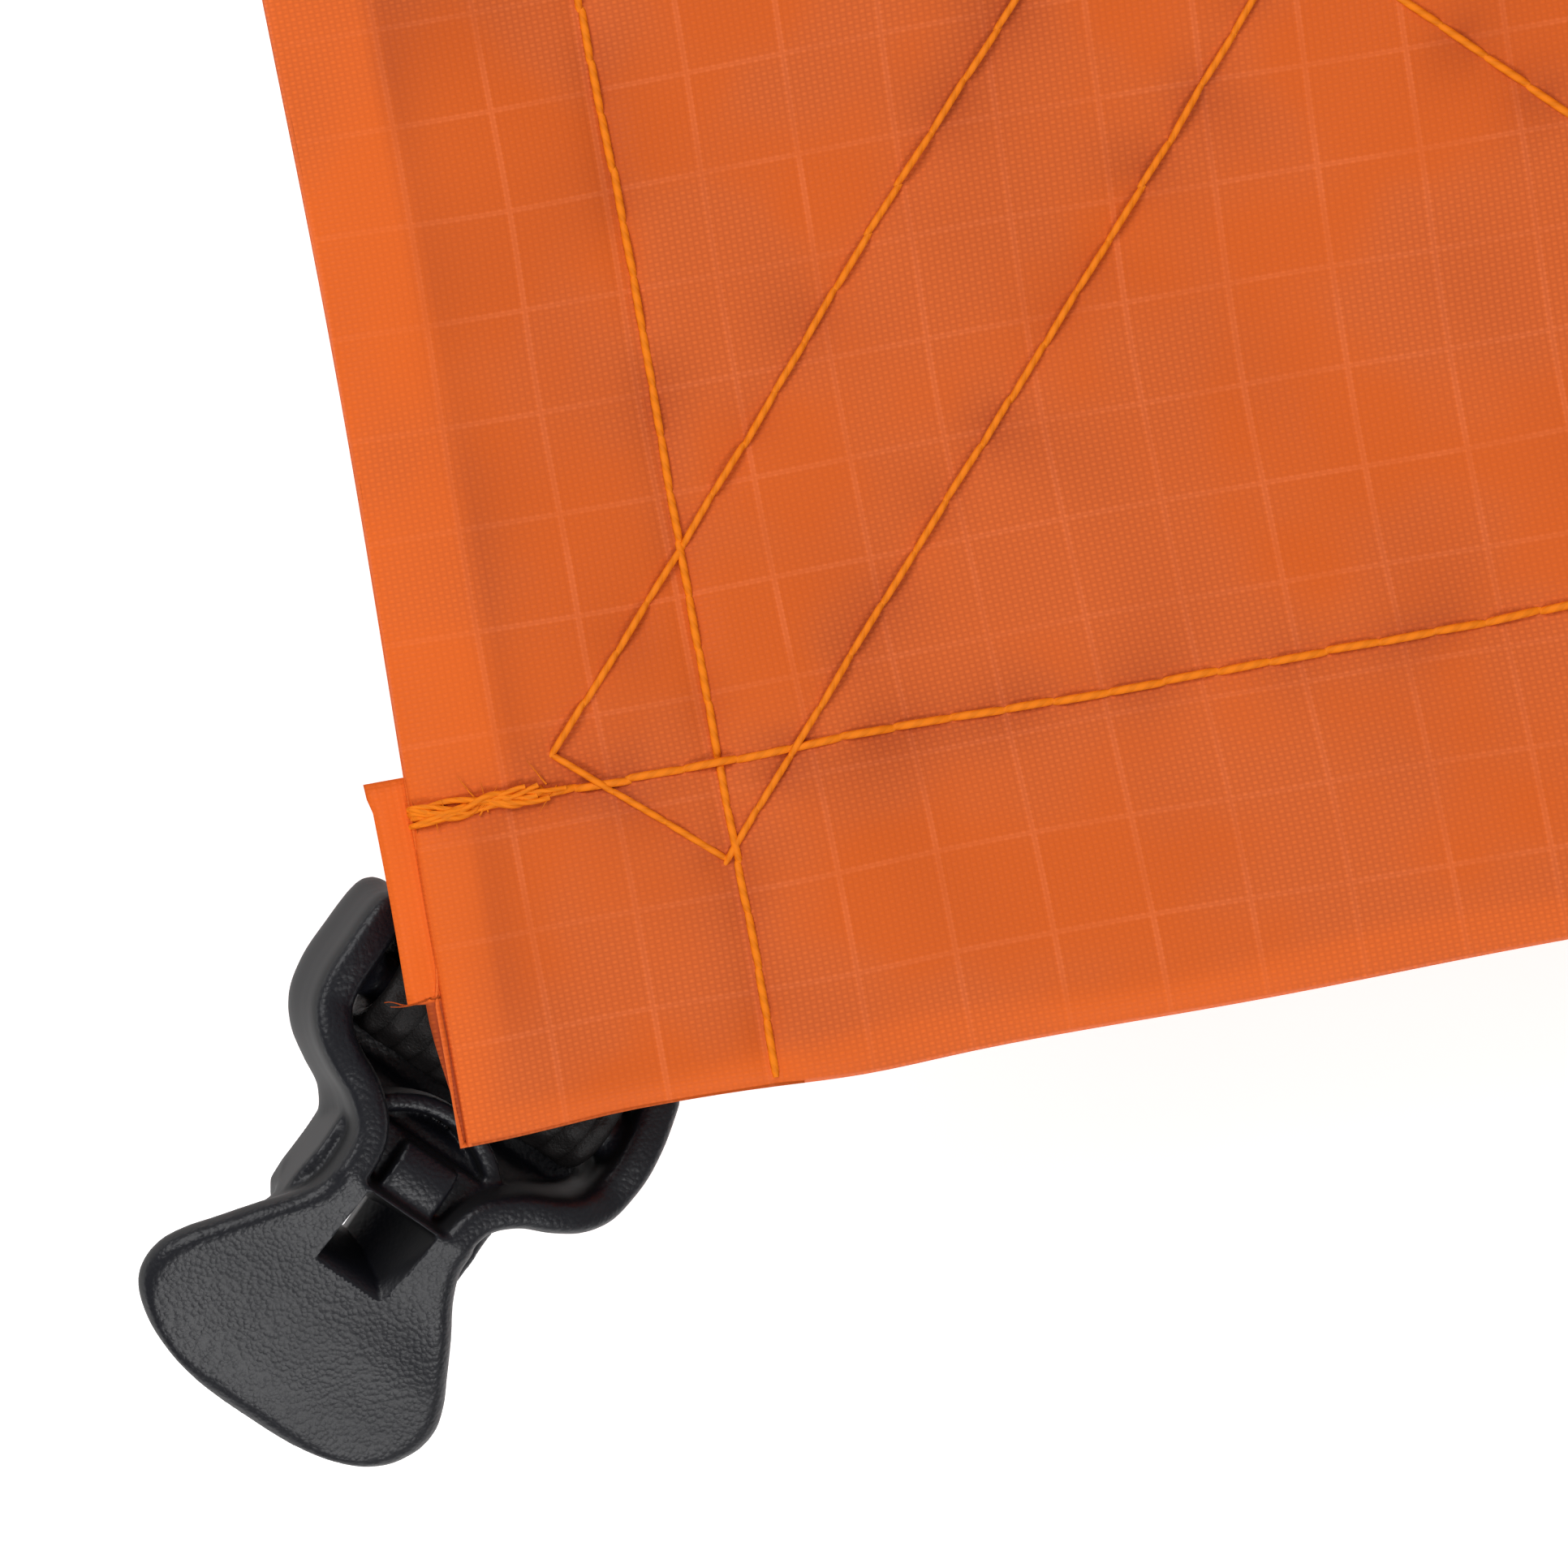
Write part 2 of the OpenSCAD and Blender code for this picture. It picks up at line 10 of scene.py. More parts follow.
import bmesh
import bpy
import numpy as np
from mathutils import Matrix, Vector


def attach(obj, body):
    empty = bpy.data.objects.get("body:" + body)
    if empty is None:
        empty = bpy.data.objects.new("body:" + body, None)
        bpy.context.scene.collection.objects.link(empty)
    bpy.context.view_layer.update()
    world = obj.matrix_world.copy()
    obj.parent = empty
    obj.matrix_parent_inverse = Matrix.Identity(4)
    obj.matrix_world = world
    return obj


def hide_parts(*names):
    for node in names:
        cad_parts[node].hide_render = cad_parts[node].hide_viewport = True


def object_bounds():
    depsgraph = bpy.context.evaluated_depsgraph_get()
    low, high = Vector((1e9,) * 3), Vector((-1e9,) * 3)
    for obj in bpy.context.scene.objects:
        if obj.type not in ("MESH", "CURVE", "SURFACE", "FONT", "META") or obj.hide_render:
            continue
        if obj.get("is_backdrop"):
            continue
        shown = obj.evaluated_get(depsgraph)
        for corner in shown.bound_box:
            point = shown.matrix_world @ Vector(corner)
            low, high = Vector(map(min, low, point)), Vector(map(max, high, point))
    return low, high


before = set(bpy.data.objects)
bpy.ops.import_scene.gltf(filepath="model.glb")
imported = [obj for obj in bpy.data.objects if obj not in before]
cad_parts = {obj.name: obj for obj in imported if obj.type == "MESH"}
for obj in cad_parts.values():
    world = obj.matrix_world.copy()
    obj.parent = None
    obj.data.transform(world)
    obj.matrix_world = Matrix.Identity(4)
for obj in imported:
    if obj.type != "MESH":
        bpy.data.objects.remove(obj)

bl_info = {
    "name": "Ripstop Stuff Sack",
    "version": (1, 0, 0),
    "blender": (4, 5, 0),
    "location": "View3D > Sidebar > Stuff Sack",
    "description": "Makes a ripstop stuff sack with webbing tie-outs, cord adjusters and a side-release buckle",
    "category": "Add Mesh",
}

MM = 0.001
SACK = "sack"
RIB = 1.15  # width of one rib of the webbing, in millimetres
PICK = 1.6  # length of one over and under along a rib
RIB_SHIFT = 0.8  # how far each rib's picks are offset from the last one's
DEEP_ORANGE = (0.3, 0.045, 0.012)  # the weave's gaps, and the cloth's painted shade


def length(name, millimetres, description):
    """A length property: it is shown in metres, and given here in millimetres."""
    return bpy.props.FloatProperty(
        name=name,
        description=description,
        default=millimetres * MM,
        min=0.0,
        precision=5,
        unit="LENGTH",
    )


def colour(name, rgb, description):
    """A colour property, given as 0 to 255 display values."""
    return bpy.props.FloatVectorProperty(
        name=name,
        description=description,
        default=linear(rgb),
        min=0.0,
        max=1.0,
        size=3,
        subtype="COLOR",
    )


def linear(rgb):
    """Display values from 0 to 255 as linear light: a straight part near black, then a power of 2.4."""
    c = np.array(rgb, float) / 255
    return tuple(np.where(c <= 0.04045, c / 12.92, ((c + 0.055) / 1.055) ** 2.4))


class SackSizes(bpy.types.PropertyGroup):
    """Sizes of the sack's cloth, webbing and fittings."""

    sack_w: length("Sack width", 280, "Width of the sack laid flat")
    sack_l: length("Sack length", 440, "Length from the bottom edge to the mouth")
    hem_w: length("Flange width", 17, "Width of the stitched flange")
    ear_leg: length("Ear leg", 106, "Leg of the triangular ear at each bottom corner")
    seam_h: length("Seam height", 28, "Height of the side seams above the floor")
    mouth_h: length("Mouth height", 13, "Height of the side seams at the mouth")
    front_loft: length("Front loft", 30, "How far the front stands above the seams")
    mouth_loft: length("Mouth loft", 16, "How far the front lip stands above the seams")
    sag_start: length("Sag start", 230, "Where the seams start to sink to the mouth")
    side_rise: length("Side rise", 100, "Rise of a panel from its side seams")
    bottom_rise: length("Bottom rise", 110, "Rise of a panel from the bottom seam")
    corner_rise: length("Corner rise", 80, "Rise of a panel from an ear")
    mouth_band: length("Mouth band", 25, "Depth of the faced band at the mouth")
    side_stitch: length("Side stitch", 15.6, "Side topstitch from the edge")
    bottom_stitch: length("Bottom stitch", 16.4, "Bottom topstitch from the edge")
    stitch_pitch: length("Stitch length", 2.7, "Length of one stitch")
    thread_d: length("Thread thickness", 0.42, "Thickness of the sewing thread")
    web_w: length("Webbing width", 14, "Width of the webbing")
    web_t: length("Webbing thickness", 1.1, "Thickness of the webbing")
    web_lead: length("Web lead", 14.2, "From the sewing bar to the box stitch")
    box_w: length("Box stitch width", 10, "Width of the box stitch")
    bar_drop: length("Bar drop", 8.6, "How far the sewing bar hangs below the seams")
    square: length("Ripstop square", 5, "Spacing of the ripstop's heavy threads")
    warp_step: length("Warp spacing", 0.3125, "Spacing of the threads across the sack")
    weft_step: length("Weft spacing", 0.2273, "Spacing of the threads along the sack")


class SackColours(bpy.types.PropertyGroup):
    """Colours of the sack's cloth, thread and fittings."""

    cloth: colour("Cloth", (214, 95, 31), "The cloth where it lies close")
    # Lighter tone of painted sheen, mixed into the cloth in patches.
    cloth_loose: colour("Loose cloth", (219, 103, 45), "The cloth where it stands off")
    # Painted highlight along the rolled, folded edges.
    cloth_fold: colour("Folded edge", (239, 108, 36), "The cloth along its folded edges")
    cloth_grid: colour("Ripstop threads", (238, 120, 66), "The heavy threads' colour")
    thread: colour("Thread", (233, 120, 10), "Sewing thread")
    webbing: colour("Webbing", (14, 12, 12), "Webbing")
    plastic: colour("Plastic", (15, 15, 17), "Moulded fittings")
    floor: colour("Floor", (250, 250, 250), "The plain floor")


def sizes():
    """All lengths in millimetres, with the ones that follow from them."""
    group = bpy.context.scene.sack_sizes
    s = SimpleNamespace(**{k: getattr(group, k) / MM for k in SackSizes.__annotations__})
    s.half_w = s.sack_w / 2
    s.band_y = s.sack_l - s.mouth_band
    s.flat_mouth = s.mouth_band + 5
    s.panel = 0.85
    s.lining = 0.2
    s.bar = (1.8, 4.3)
    s.tie_angle = math.radians(48.1)
    s.roll, s.yaw = math.radians(17), math.radians(3.2)
    s.crease = s.ear_leg / math.sqrt(2) - math.hypot(*s.bar)
    s.box_len = s.crease - s.web_lead - 2.5 - 2.6
    s.web_top = -1.75
    return s


# ---- Points, noise and folds ----


def points(x, y, z):
    """Points from coordinates that are stretched to one shape."""
    return np.stack(np.broadcast_arrays(x, y, z), -1)


def unit(v):
    """Each vector at length 1."""
    return v / np.linalg.norm(v, axis=-1, keepdims=True)


def turned(a, b, angle):
    """Two coordinates turned by an angle in their plane."""
    c, d = math.cos(angle), math.sin(angle)
    return a * c - b * d, a * d + b * c


def run_along(path):
    """Distance along a path at each of its points."""
    return np.concatenate([[0], np.cumsum(np.linalg.norm(np.diff(path, axis=0), axis=1))])


def read_off(at, run, path):
    """Points at other distances along a path whose points lie at run."""
    return np.stack([np.interp(at, run, c) for c in path.T], -1)


def circle(n):
    """n even angles once round."""
    return np.linspace(0, 2 * np.pi, n, endpoint=False)


def smooth(t):
    """Three t squared minus two t cubed, with t held between 0 and 1."""
    c = np.clip(t, 0, 1)
    return c * c * (3 - 2 * c)


def ripple(x, y, seed, wave, count=7):
    """About -1 to 1: a sum of count sine waves in seeded directions, their length within a third of wave."""
    rng = np.random.default_rng(seed)
    total = np.zeros(np.broadcast(x, y).shape)
    for turn, scale, phase in zip(
        rng.uniform(0, 2 * np.pi, count),
        rng.uniform(0.7, 1.35, count),
        rng.uniform(0, 2 * np.pi, count),
    ):
        k = 2 * np.pi / (wave * scale)
        total += np.sin(k * (x * np.cos(turn) + y * np.sin(turn)) + phase)
    return total / math.sqrt(count)


def crease(x, y, at, turn, long, wide, high):
    """One soft fold about the line through at: high, times a bell across its width and a bell along its length."""
    dx, dy = x - at[0], y - at[1]
    along = dx * np.cos(turn) + dy * np.sin(turn)
    across = dy * np.cos(turn) - dx * np.sin(turn)
    return high * np.exp(-((across / wide) ** 2) - (along / long) ** 4)


# ---- The sack's shape ----


def sag(s, y):
    """How far along its fall to the mouth the seam is, from 0 to 1."""
    return smooth((y - s.sag_start) / (s.sack_l - s.flat_mouth - s.sag_start))


def seam_z(s, y):
    """Height of the side seams."""
    return s.seam_h - (s.seam_h - s.mouth_h) * sag(s, y)


def ear_distance(s, x, y):
    """Distance past the crease that closes the nearer ear."""
    return (s.half_w - np.abs(x) + y - s.ear_leg) / math.sqrt(2)


def fullness(s, x, y):
    """How full the sack is, from 0 to 1: 1 minus the square of the pinch.

    The pinch is the cube root of the sum of the cubed shortfalls from the side, the bottom and the ear.
    """
    side = np.clip(1 - (s.half_w - s.hem_w - np.abs(x)) / s.side_rise, 0, None)
    bottom = np.clip(1 - (y - s.hem_w) / s.bottom_rise, 0, None)
    corner = np.clip(1 - ear_distance(s, x, y) / s.corner_rise, 0, None)
    pinch = np.minimum(1, (side**3 + bottom**3 + corner**3) ** (1 / 3))
    inside = (np.abs(x) < s.half_w - s.hem_w) & (y > s.hem_w)
    return np.where(inside & (ear_distance(s, x, y) > 0), 1 - pinch**2, 0)


def stitch_lines(s):
    """The sewn lines on one bottom corner, from the corner's tip: start, end and how far each pulls the cloth down."""
    u = np.array([math.cos(s.tie_angle), math.sin(s.tie_angle)])
    v = np.array([-u[1], u[0]])
    foot = np.array(s.bar) + u * s.web_lead
    head = foot + u * s.box_len
    w = v * s.box_w / 2
    reach = s.ear_leg - 3.1
    return [
        ((s.side_stitch, 0.6), (s.side_stitch, s.sack_l - 4), 0.34),
        ((0.4, s.bottom_stitch), (s.half_w, s.bottom_stitch), 0.34),
        ((reach - 0.6, 0.6), (0.6, reach - 0.6), 0.3),
        (tuple(foot - w), tuple(head - w), 0.26),
        (tuple(foot + w), tuple(head + w), 0.26),
        (tuple(foot - w), tuple(foot + w), 0.26),
        (tuple(head - w), tuple(head + w), 0.26),
    ]


def near_seams(s, x, y, ease):
    """For each sewn line: its pull, how far along it and across it each place lies, and whether that is beside it.

    The last is 1 beside the line and eases to 0 past its ends.
    """
    cx = s.half_w - np.abs(x)
    for a, b, deep in stitch_lines(s):
        d = np.subtract(b, a)
        span = np.hypot(*d)
        d = d / span
        along = (cx - a[0]) * d[0] + (y - a[1]) * d[1]
        across = (y - a[1]) * d[0] - (cx - a[0]) * d[1]
        on = smooth((along + ease) / (ease + 1)) * smooth((span + ease - along) / (ease + 1))
        yield deep, along, across, on


def pull(s, x, y, seed):
    """How the thread pulls the cloth: a furrow along each sewn line, and gathers that leave it square on and fade."""
    total = np.zeros(np.broadcast(x, y).shape)
    for n, (deep, along, across, on) in enumerate(near_seams(s, x, y, 2)):
        beat = 0.8 + 0.2 * np.cos(2 * np.pi * along / s.stitch_pitch)
        total -= on * deep * beat * np.exp(-((across / 0.75) ** 2))
        gather = ripple(along, across * 0.12, seed + n, 6.5, 5)
        total += on * 0.13 * gather * np.exp(-np.abs(across) / 4.5)
    return total


def edge_shift(s, x, y):
    """How far the sewn edges wander inwards from straight: slow waves that fade 9 mm into the cloth."""
    d = s.half_w - np.abs(x)
    ear = 74
    sway = 0.22 - 0.16 * np.cos(2 * np.pi * np.clip(y, 0, ear) / ear) + 0.1 * ripple(y, x * 0, 3, 40, 3)
    in_x = sway * smooth(y / 6) * np.exp(-np.abs(d) / 9) * -np.sign(x)
    lift = 0.24 - 0.22 * np.exp(-(((d - 20) / 4.5) ** 2)) + 0.07 * ripple(d, y * 0, 5, 22, 4)
    in_y = lift * smooth(d / 9) * np.exp(-np.abs(y) / 9)
    return in_x, in_y


def flange_edge(s, x, y):
    """Distance to the nearest folded edge on the sides or the bottom."""
    return np.minimum(s.half_w - np.abs(x), y)


def edge_roll(s, x, y, wide_side=5.2, wide_bottom=2.4):
    """From 1 at a folded edge to 0 where its roll ends, as a quarter of an ellipse, at the sides and the bottom."""
    side = np.clip(1 - (s.half_w - np.abs(x)) / wide_side, 0, 1)
    bottom = np.clip(1 - y / wide_bottom, 0, 1)
    return 1 - np.sqrt(np.clip(1 - np.maximum(side, bottom) ** 2.6, 0, 1))


def body_folds(s, x, y, seed, high):
    """Soft folds over the full part of the sack.

    Some fan out from each ear, some leave the side seams, and long ones run lengthwise.
    """
    rng = np.random.default_rng(seed)
    total = np.zeros(np.broadcast(x, y).shape)

    def add(at, turn, long, wide, most):
        sizes_drawn = rng.uniform(*long), rng.uniform(*wide), rng.uniform(-most, most) * high
        return crease(x, y, at, turn, *sizes_drawn)

    for side in (-1, 1):
        for n in range(7):
            t = (n + 0.5 + rng.uniform(-0.25, 0.25)) / 7
            base = np.array([side * (s.half_w - s.ear_leg * t), s.ear_leg * (1 - t)])
            turn = math.atan2(1, -side) + rng.uniform(-0.4, 0.4)
            out = np.array([math.cos(turn), math.sin(turn)]) * rng.uniform(14, 30)
            total += add(base + out, turn, (16, 34), (2.2, 5), 1)
        for n in range(16):
            at = (side * (s.half_w - s.hem_w - rng.uniform(8, 22)), 120 + n * 19 + rng.uniform(-7, 7))
            turn = math.pi / 2 + side * (math.pi / 2 + rng.uniform(-0.5, 0.5))
            total += add(at, turn, (12, 26), (2, 5), 0.9)
    for _ in range(26):
        at = (rng.uniform(-95, 95), rng.uniform(120, 405))
        turn = math.pi / 2 + rng.uniform(-0.9, 0.9)
        total += add(at, turn, (25, 85), (4.5, 11), 1.5)
    return total


def front_z(s, x, y):
    """Height of the front cloth: seam plus loft times fullness, plus folds, the thread's pull and rolled edges."""
    full = fullness(s, x, y)
    base = seam_z(s, y) + (s.front_loft - (s.front_loft - s.mouth_loft) * sag(s, y)) * full
    calm = 1 - smooth((y - s.band_y + 30) / 30) * 0.85
    soft = np.sqrt(full)
    level = s.panel * (1 - edge_roll(s, x, y))
    flat = (0.2 * ripple(x, y, 11, 24) + 0.07 * ripple(x, y, 12, 9)) * smooth(flange_edge(s, x, y) / 8)
    return (
        base
        + level
        + flat * (1 - soft)
        + pull(s, x, y, 20)
        + calm * soft * body_folds(s, x, y, 31, 2.1)
        + calm * soft * (0.6 * ripple(x, y, 32, 30) + 0.25 * ripple(x, y, 33, 13))
    )


def back_z(s, x, y):
    """Height of the back cloth: it falls from the seam until it meets the floor, where it lies flat."""
    full = fullness(s, x, y)
    base = seam_z(s, y)
    fall = np.minimum(base - 1.25, 1.35 * base * full)
    level = s.panel * (1 - edge_roll(s, x, y))
    soft = np.sqrt(full)
    loose = smooth((base - 1.25 - fall) / 8)
    fold = soft * loose * (body_folds(s, x, y, 41, 1.6) + 0.5 * ripple(x, y, 42, 22))
    flat = 0.12 * ripple(x, y, 43, 20) * (1 - soft) * smooth(flange_edge(s, x, y) / 8)
    rest = (1 - loose) * (0.12 + 0.1 * ripple(x, y, 44, 15)) * soft
    return np.maximum(base - fall - level + fold + flat + rest - pull(s, x, y, 50) * (1 - soft), 0.06)


# ---- Meshes ----


def quads(n, m, around):
    """Quads over n rows of m points, as point numbers, and the row and column of each one's first corner."""
    rows, columns = np.arange(n - 1), np.arange(m if around else m - 1)
    i, j = (a.ravel() for a in np.meshgrid(rows, columns, indexing="ij"))
    k = (j + 1) % m
    return np.stack([i * m + j, (i + 1) * m + j, (i + 1) * m + k, i * m + k], -1), i, j


def corner_places(uv, i, j):
    """The pattern place of each corner of each quad."""
    return np.stack([uv[i, j], uv[i + 1, j], uv[i + 1, j + 1], uv[i, j + 1]], 1).reshape(-1, 2)


class Shape:
    """Surfaces gathered into one mesh: points in millimetres, faces, and a pattern place for each corner."""

    def __init__(self):
        self.points, self.faces, self.places, self.count = [], [], [], 0

    def add(self, p, faces, places):
        self.points.append(p.reshape(-1, 3))
        self.faces += faces
        self.places += places
        self.count += p.size // 3
        return self

    def grid(self, p, uv=None, around=False, caps=False):
        """Quads over a grid of points. around joins the last column to the first, caps closes both end rings."""
        n, m = p.shape[:2]
        if uv is None:
            uv = np.stack(np.meshgrid(np.arange(n), np.arange(m + around), indexing="ij"), -1)
        index, i, j = quads(n, m, around)
        faces, places = (index + self.count).tolist(), [corner_places(uv, i, j)]
        if caps:
            for ring in (range(m - 1, -1, -1), range((n - 1) * m, n * m)):
                faces.append([self.count + r for r in ring])
                places.append(np.zeros((m, 2)))
        return self.add(p, faces, places)

    def strands(self, p, uv):
        """Many like tubes at once, as an array of tube, ring, corner and place, each closed at both ends."""
        c, n, m = p.shape[:3]
        index, i, j = quads(n, m, True)
        start = self.count + np.arange(c)[:, None, None] * n * m
        ends = np.stack([np.arange(m)[::-1], (n - 1) * m + np.arange(m)])
        faces = (index[None] + start).reshape(-1, 4).tolist() + (ends[None] + start).reshape(-1, m).tolist()
        return self.add(p, faces, [np.tile(corner_places(uv, i, j), (c, 1)), np.zeros((2 * c * m, 2))])

    def mirrored(self):
        """The same surfaces on the other side of the sack, turned so that they still face outwards."""
        twin = Shape()
        twin.points = [p * np.array([-1, 1, 1]) for p in self.points]
        twin.count = self.count
        lengths = np.array([len(f) for f in self.faces])
        starts = np.concatenate([[0], np.cumsum(lengths)[:-1]])
        order = np.concatenate([np.arange(a + n - 1, a - 1, -1) for a, n in zip(starts, lengths)])
        twin.places = [np.concatenate(self.places)[order]]
        twin.faces = [f[::-1] for f in self.faces]
        return twin

    def make(self, name, outward=False):
        """The mesh object, at the origin, with its place in its mesh."""
        p = np.concatenate(self.points) - np.array([0, sizes().sack_l / 2, 0])
        mesh = bpy.data.meshes.new(name)
        mesh.from_pydata((p * MM).tolist(), [], self.faces)
        layer = mesh.uv_layers.new(name="pattern")
        layer.uv.foreach_set("vector", np.concatenate(self.places).astype(np.float32).ravel())
        if outward:
            face_outwards(mesh)
        mesh.update()
        return add_smooth(name, mesh)


def face_outwards(mesh, join=None, flatten=None):
    """Turns every closed shell's faces outwards.

    Before that, points nearer than join are joined, and edges flatter than flatten are dissolved.
    """
    bm = bmesh.new()
    bm.from_mesh(mesh)
    if join:
        bmesh.ops.remove_doubles(bm, verts=bm.verts, dist=join)
    if flatten:
        bmesh.ops.dissolve_limit(bm, angle_limit=flatten, verts=bm.verts, edges=bm.edges)
    bmesh.ops.recalc_face_normals(bm, faces=bm.faces)
    bm.to_mesh(mesh)
    bm.free()


def add_object(name, data):
    """A new object in the scene, at the origin."""
    obj = bpy.data.objects.new(name, data)
    bpy.context.scene.collection.objects.link(obj)
    return obj


def add_smooth(name, mesh):
    """A new mesh object with smooth shading."""
    mesh.polygons.foreach_set("use_smooth", np.ones(len(mesh.polygons), bool))
    return add_object(name, mesh)


def settle(obj, material, body, nodes):
    """Gives a piece its material and body, and hides the frame nodes that it stands for."""
    obj.data.materials.clear()
    obj.data.materials.append(material)
    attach(obj, body)
    if nodes:
        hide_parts(*nodes)
    return obj


def attribute(obj, name, values):
    """Stores one number for each point."""
    layer = obj.data.attributes.new(name, "FLOAT", "POINT")
    layer.data.foreach_set("value", np.asarray(values, np.float32).ravel())


def apply_modifiers(obj):
    """Fixes the modifiers' result into the mesh."""
    bpy.context.view_layer.update()
    graph = bpy.context.evaluated_depsgraph_get()
    done = bpy.data.meshes.new_from_object(obj.evaluated_get(graph))
    old = obj.data
    obj.modifiers.clear()
    obj.data = done
    bpy.data.meshes.remove(old)


def thicken(obj, millimetres, offset):
    """Gives a sheet its real thickness."""
    wall = obj.modifiers.new("thickness", "SOLIDIFY")
    wall.thickness = millimetres * MM
    wall.offset = offset
    wall.use_even_offset = False


# ---- Materials ----


class Graph:
    """A small writer for a material's nodes."""

    def __init__(self, name):
        self.material = bpy.data.materials.new(name)
        self.material.use_nodes = True
        self.tree = self.material.node_tree
        self.shader = self.tree.nodes["Principled BSDF"]

    def node(self, kind, **settings):
        n = self.tree.nodes.new(kind)
        for key, value in settings.items():
            setattr(n, key, value)
        return n

    def put(self, socket, value):
        if isinstance(value, bpy.types.NodeSocket):
            self.tree.links.new(value, socket)
        elif value is not None:
            socket.default_value = value

    def math(self, operation, a, b=None, c=None):
        n = self.node("ShaderNodeMath", operation=operation)
        for socket, value in zip(n.inputs, (a, b, c)):
            self.put(socket, value)
        return n.outputs[0]

    def times(self, a, b):
        return self.math("MULTIPLY", a, b)

    def plus(self, a, b):
        return self.math("ADD", a, b)

    def mix(self, factor, a, b, blend="MIX"):
        n = self.node("ShaderNodeMix", data_type="RGBA", blend_type=blend)
        self.put(n.inputs[0], factor)
        for socket, value in ((n.inputs[6], a), (n.inputs[7], b)):
            self.put(socket, (*value, 1) if isinstance(value, tuple) else value)
        return n.outputs[2]

    def ramp(self, value, low, high, to_low=0.0, to_high=1.0):
        """Value from low to high, carried smoothly to to_low and to_high."""
        n = self.node("ShaderNodeMapRange", interpolation_type="SMOOTHSTEP")
        for socket, v in zip(n.inputs, (value, low, high, to_low, to_high)):
            self.put(socket, v)
        return n.outputs[0]

    def noise(self, place, scale, detail=2.0, rough=0.5):
        n = self.node("ShaderNodeTexNoise")
        self.put(n.inputs["Vector"], place)
        for key, v in (("Scale", scale), ("Detail", detail), ("Roughness", rough)):
            self.put(n.inputs[key], v)
        return n.outputs["Fac"]

    def cells(self, place, scale):
        n = self.node("ShaderNodeTexVoronoi")
        self.put(n.inputs["Vector"], place)
        self.put(n.inputs["Scale"], scale)
        return n.outputs["Distance"]

    def object_place(self):
        return self.node("ShaderNodeTexCoord").outputs["Object"]

    def pattern(self):
        """The piece's own pattern place: across and along, in millimetres."""
        n = self.node("ShaderNodeSeparateXYZ")
        self.put(n.inputs[0], self.node("ShaderNodeUVMap", uv_map="pattern").outputs[0])
        return n.outputs[0], n.outputs[1]

    def stored(self, name):
        return self.node("ShaderNodeAttribute", attribute_name=name).outputs["Fac"]

    def wave(self, value, step):
        """Sine of value, once round for each step."""
        return self.math("SINE", self.times(value, 2 * math.pi / step))

    def bump(self, height, millimetres, below=None):
        n = self.node("ShaderNodeBump")
        self.put(n.inputs["Height"], height)
        n.inputs["Strength"].default_value = 1.0
        n.inputs["Distance"].default_value = millimetres * MM
        if below is not None:
            self.put(n.inputs["Normal"], below)
        return n.outputs[0]

    def finish(self, base, rough, normal=None, **constants):
        self.put(self.shader.inputs["Base Color"], (*base, 1) if isinstance(base, tuple) else base)
        self.put(self.shader.inputs["Roughness"], rough)
        self.put(self.shader.inputs["Normal"], normal)
        for key, value in constants.items():
            self.shader.inputs[key.replace("_", " ")].default_value = value
        return self.material


def tint(name):
    """A colour from the panel, as a plain tuple."""
    return tuple(getattr(bpy.context.scene.sack_colours, name))


def cloth_material(name, shade=1.0, edges=True):
    """Ripstop: a plain weave of lit floats and dark gaps, a grid of heavy threads, and patches of plain cloth and of
    painted sheen; with edges, painted highlight along the folds and painted shade where marked.
    """
    s, g = sizes(), Graph(name)
    u, v = g.pattern()
    place = g.object_place()
    weave = g.times(g.wave(u, 2 * s.warp_step), g.wave(v, 2 * s.weft_step))
    weft = g.times(g.math("MAXIMUM", g.times(weave, -1.0), 0.0), 0.5)
    lit = g.plus(g.math("MAXIMUM", weave, 0.0), weft)
    line_u = g.ramp(g.math("PINGPONG", u, s.square / 2), 0.1, 0.2, 1.0, 0.0)
    line_v = g.ramp(g.math("PINGPONG", v, s.square / 2), 0.08, 0.17, 1.0, 0.0)
    grid = g.math("MAXIMUM", line_u, g.times(line_v, 0.8))
    # Patches of painted sheen: where they lie, the cloth takes the lighter tone.
    sheen_patch = g.ramp(g.noise(place, 95.0, 2.0, 0.45), 0.4, 0.6)
    fade = g.ramp(g.noise(place, 260.0, 1.0), 0.3, 0.7, 0.45, 1.0)
    broken = g.math("MULTIPLY_ADD", lit, 0.35, 0.7)
    base = g.mix(sheen_patch, tint("cloth"), tint("cloth_loose"))
    base = g.mix(g.times(g.times(grid, broken), g.times(fade, 0.55)), base, tint("cloth_grid"))
    amount = g.math("MULTIPLY_ADD", sheen_patch, 0.2, 0.2)
    if edges:
        # Painted highlight along the rolled edges, from the stored fold mark; it also lessens the weave's darkening
        # there.
        edge_highlight = g.stored("fold")
        amount = g.times(amount, g.math("SUBTRACT", 1.0, g.times(edge_highlight, 0.4)))
        base = g.mix(edge_highlight, base, tint("cloth_fold"))
    dark = g.times(g.math("SUBTRACT", 1.0, lit), amount)
    # Painted shade from the stored shade mark, added to the weave's gaps.
    if edges:
        dark = g.plus(dark, g.times(g.stored("shade"), 0.38))
    base = g.mix(dark, base, DEEP_ORANGE)
    # A darker copy of the ripstop: painted shade.
    if shade != 1.0:
        base = g.mix(1.0, base, (shade, shade * 0.96, shade * 0.92), "MULTIPLY")
    height = g.plus(lit, g.times(grid, 0.8))
    normal = g.bump(height, 0.016, g.bump(g.noise(place, 9000.0, 2.0), 0.008))
    rough = g.math("MULTIPLY_ADD", sheen_patch, 0.1, 0.52)
    return g.finish(base, rough, normal, Specular_IOR_Level=0.12)


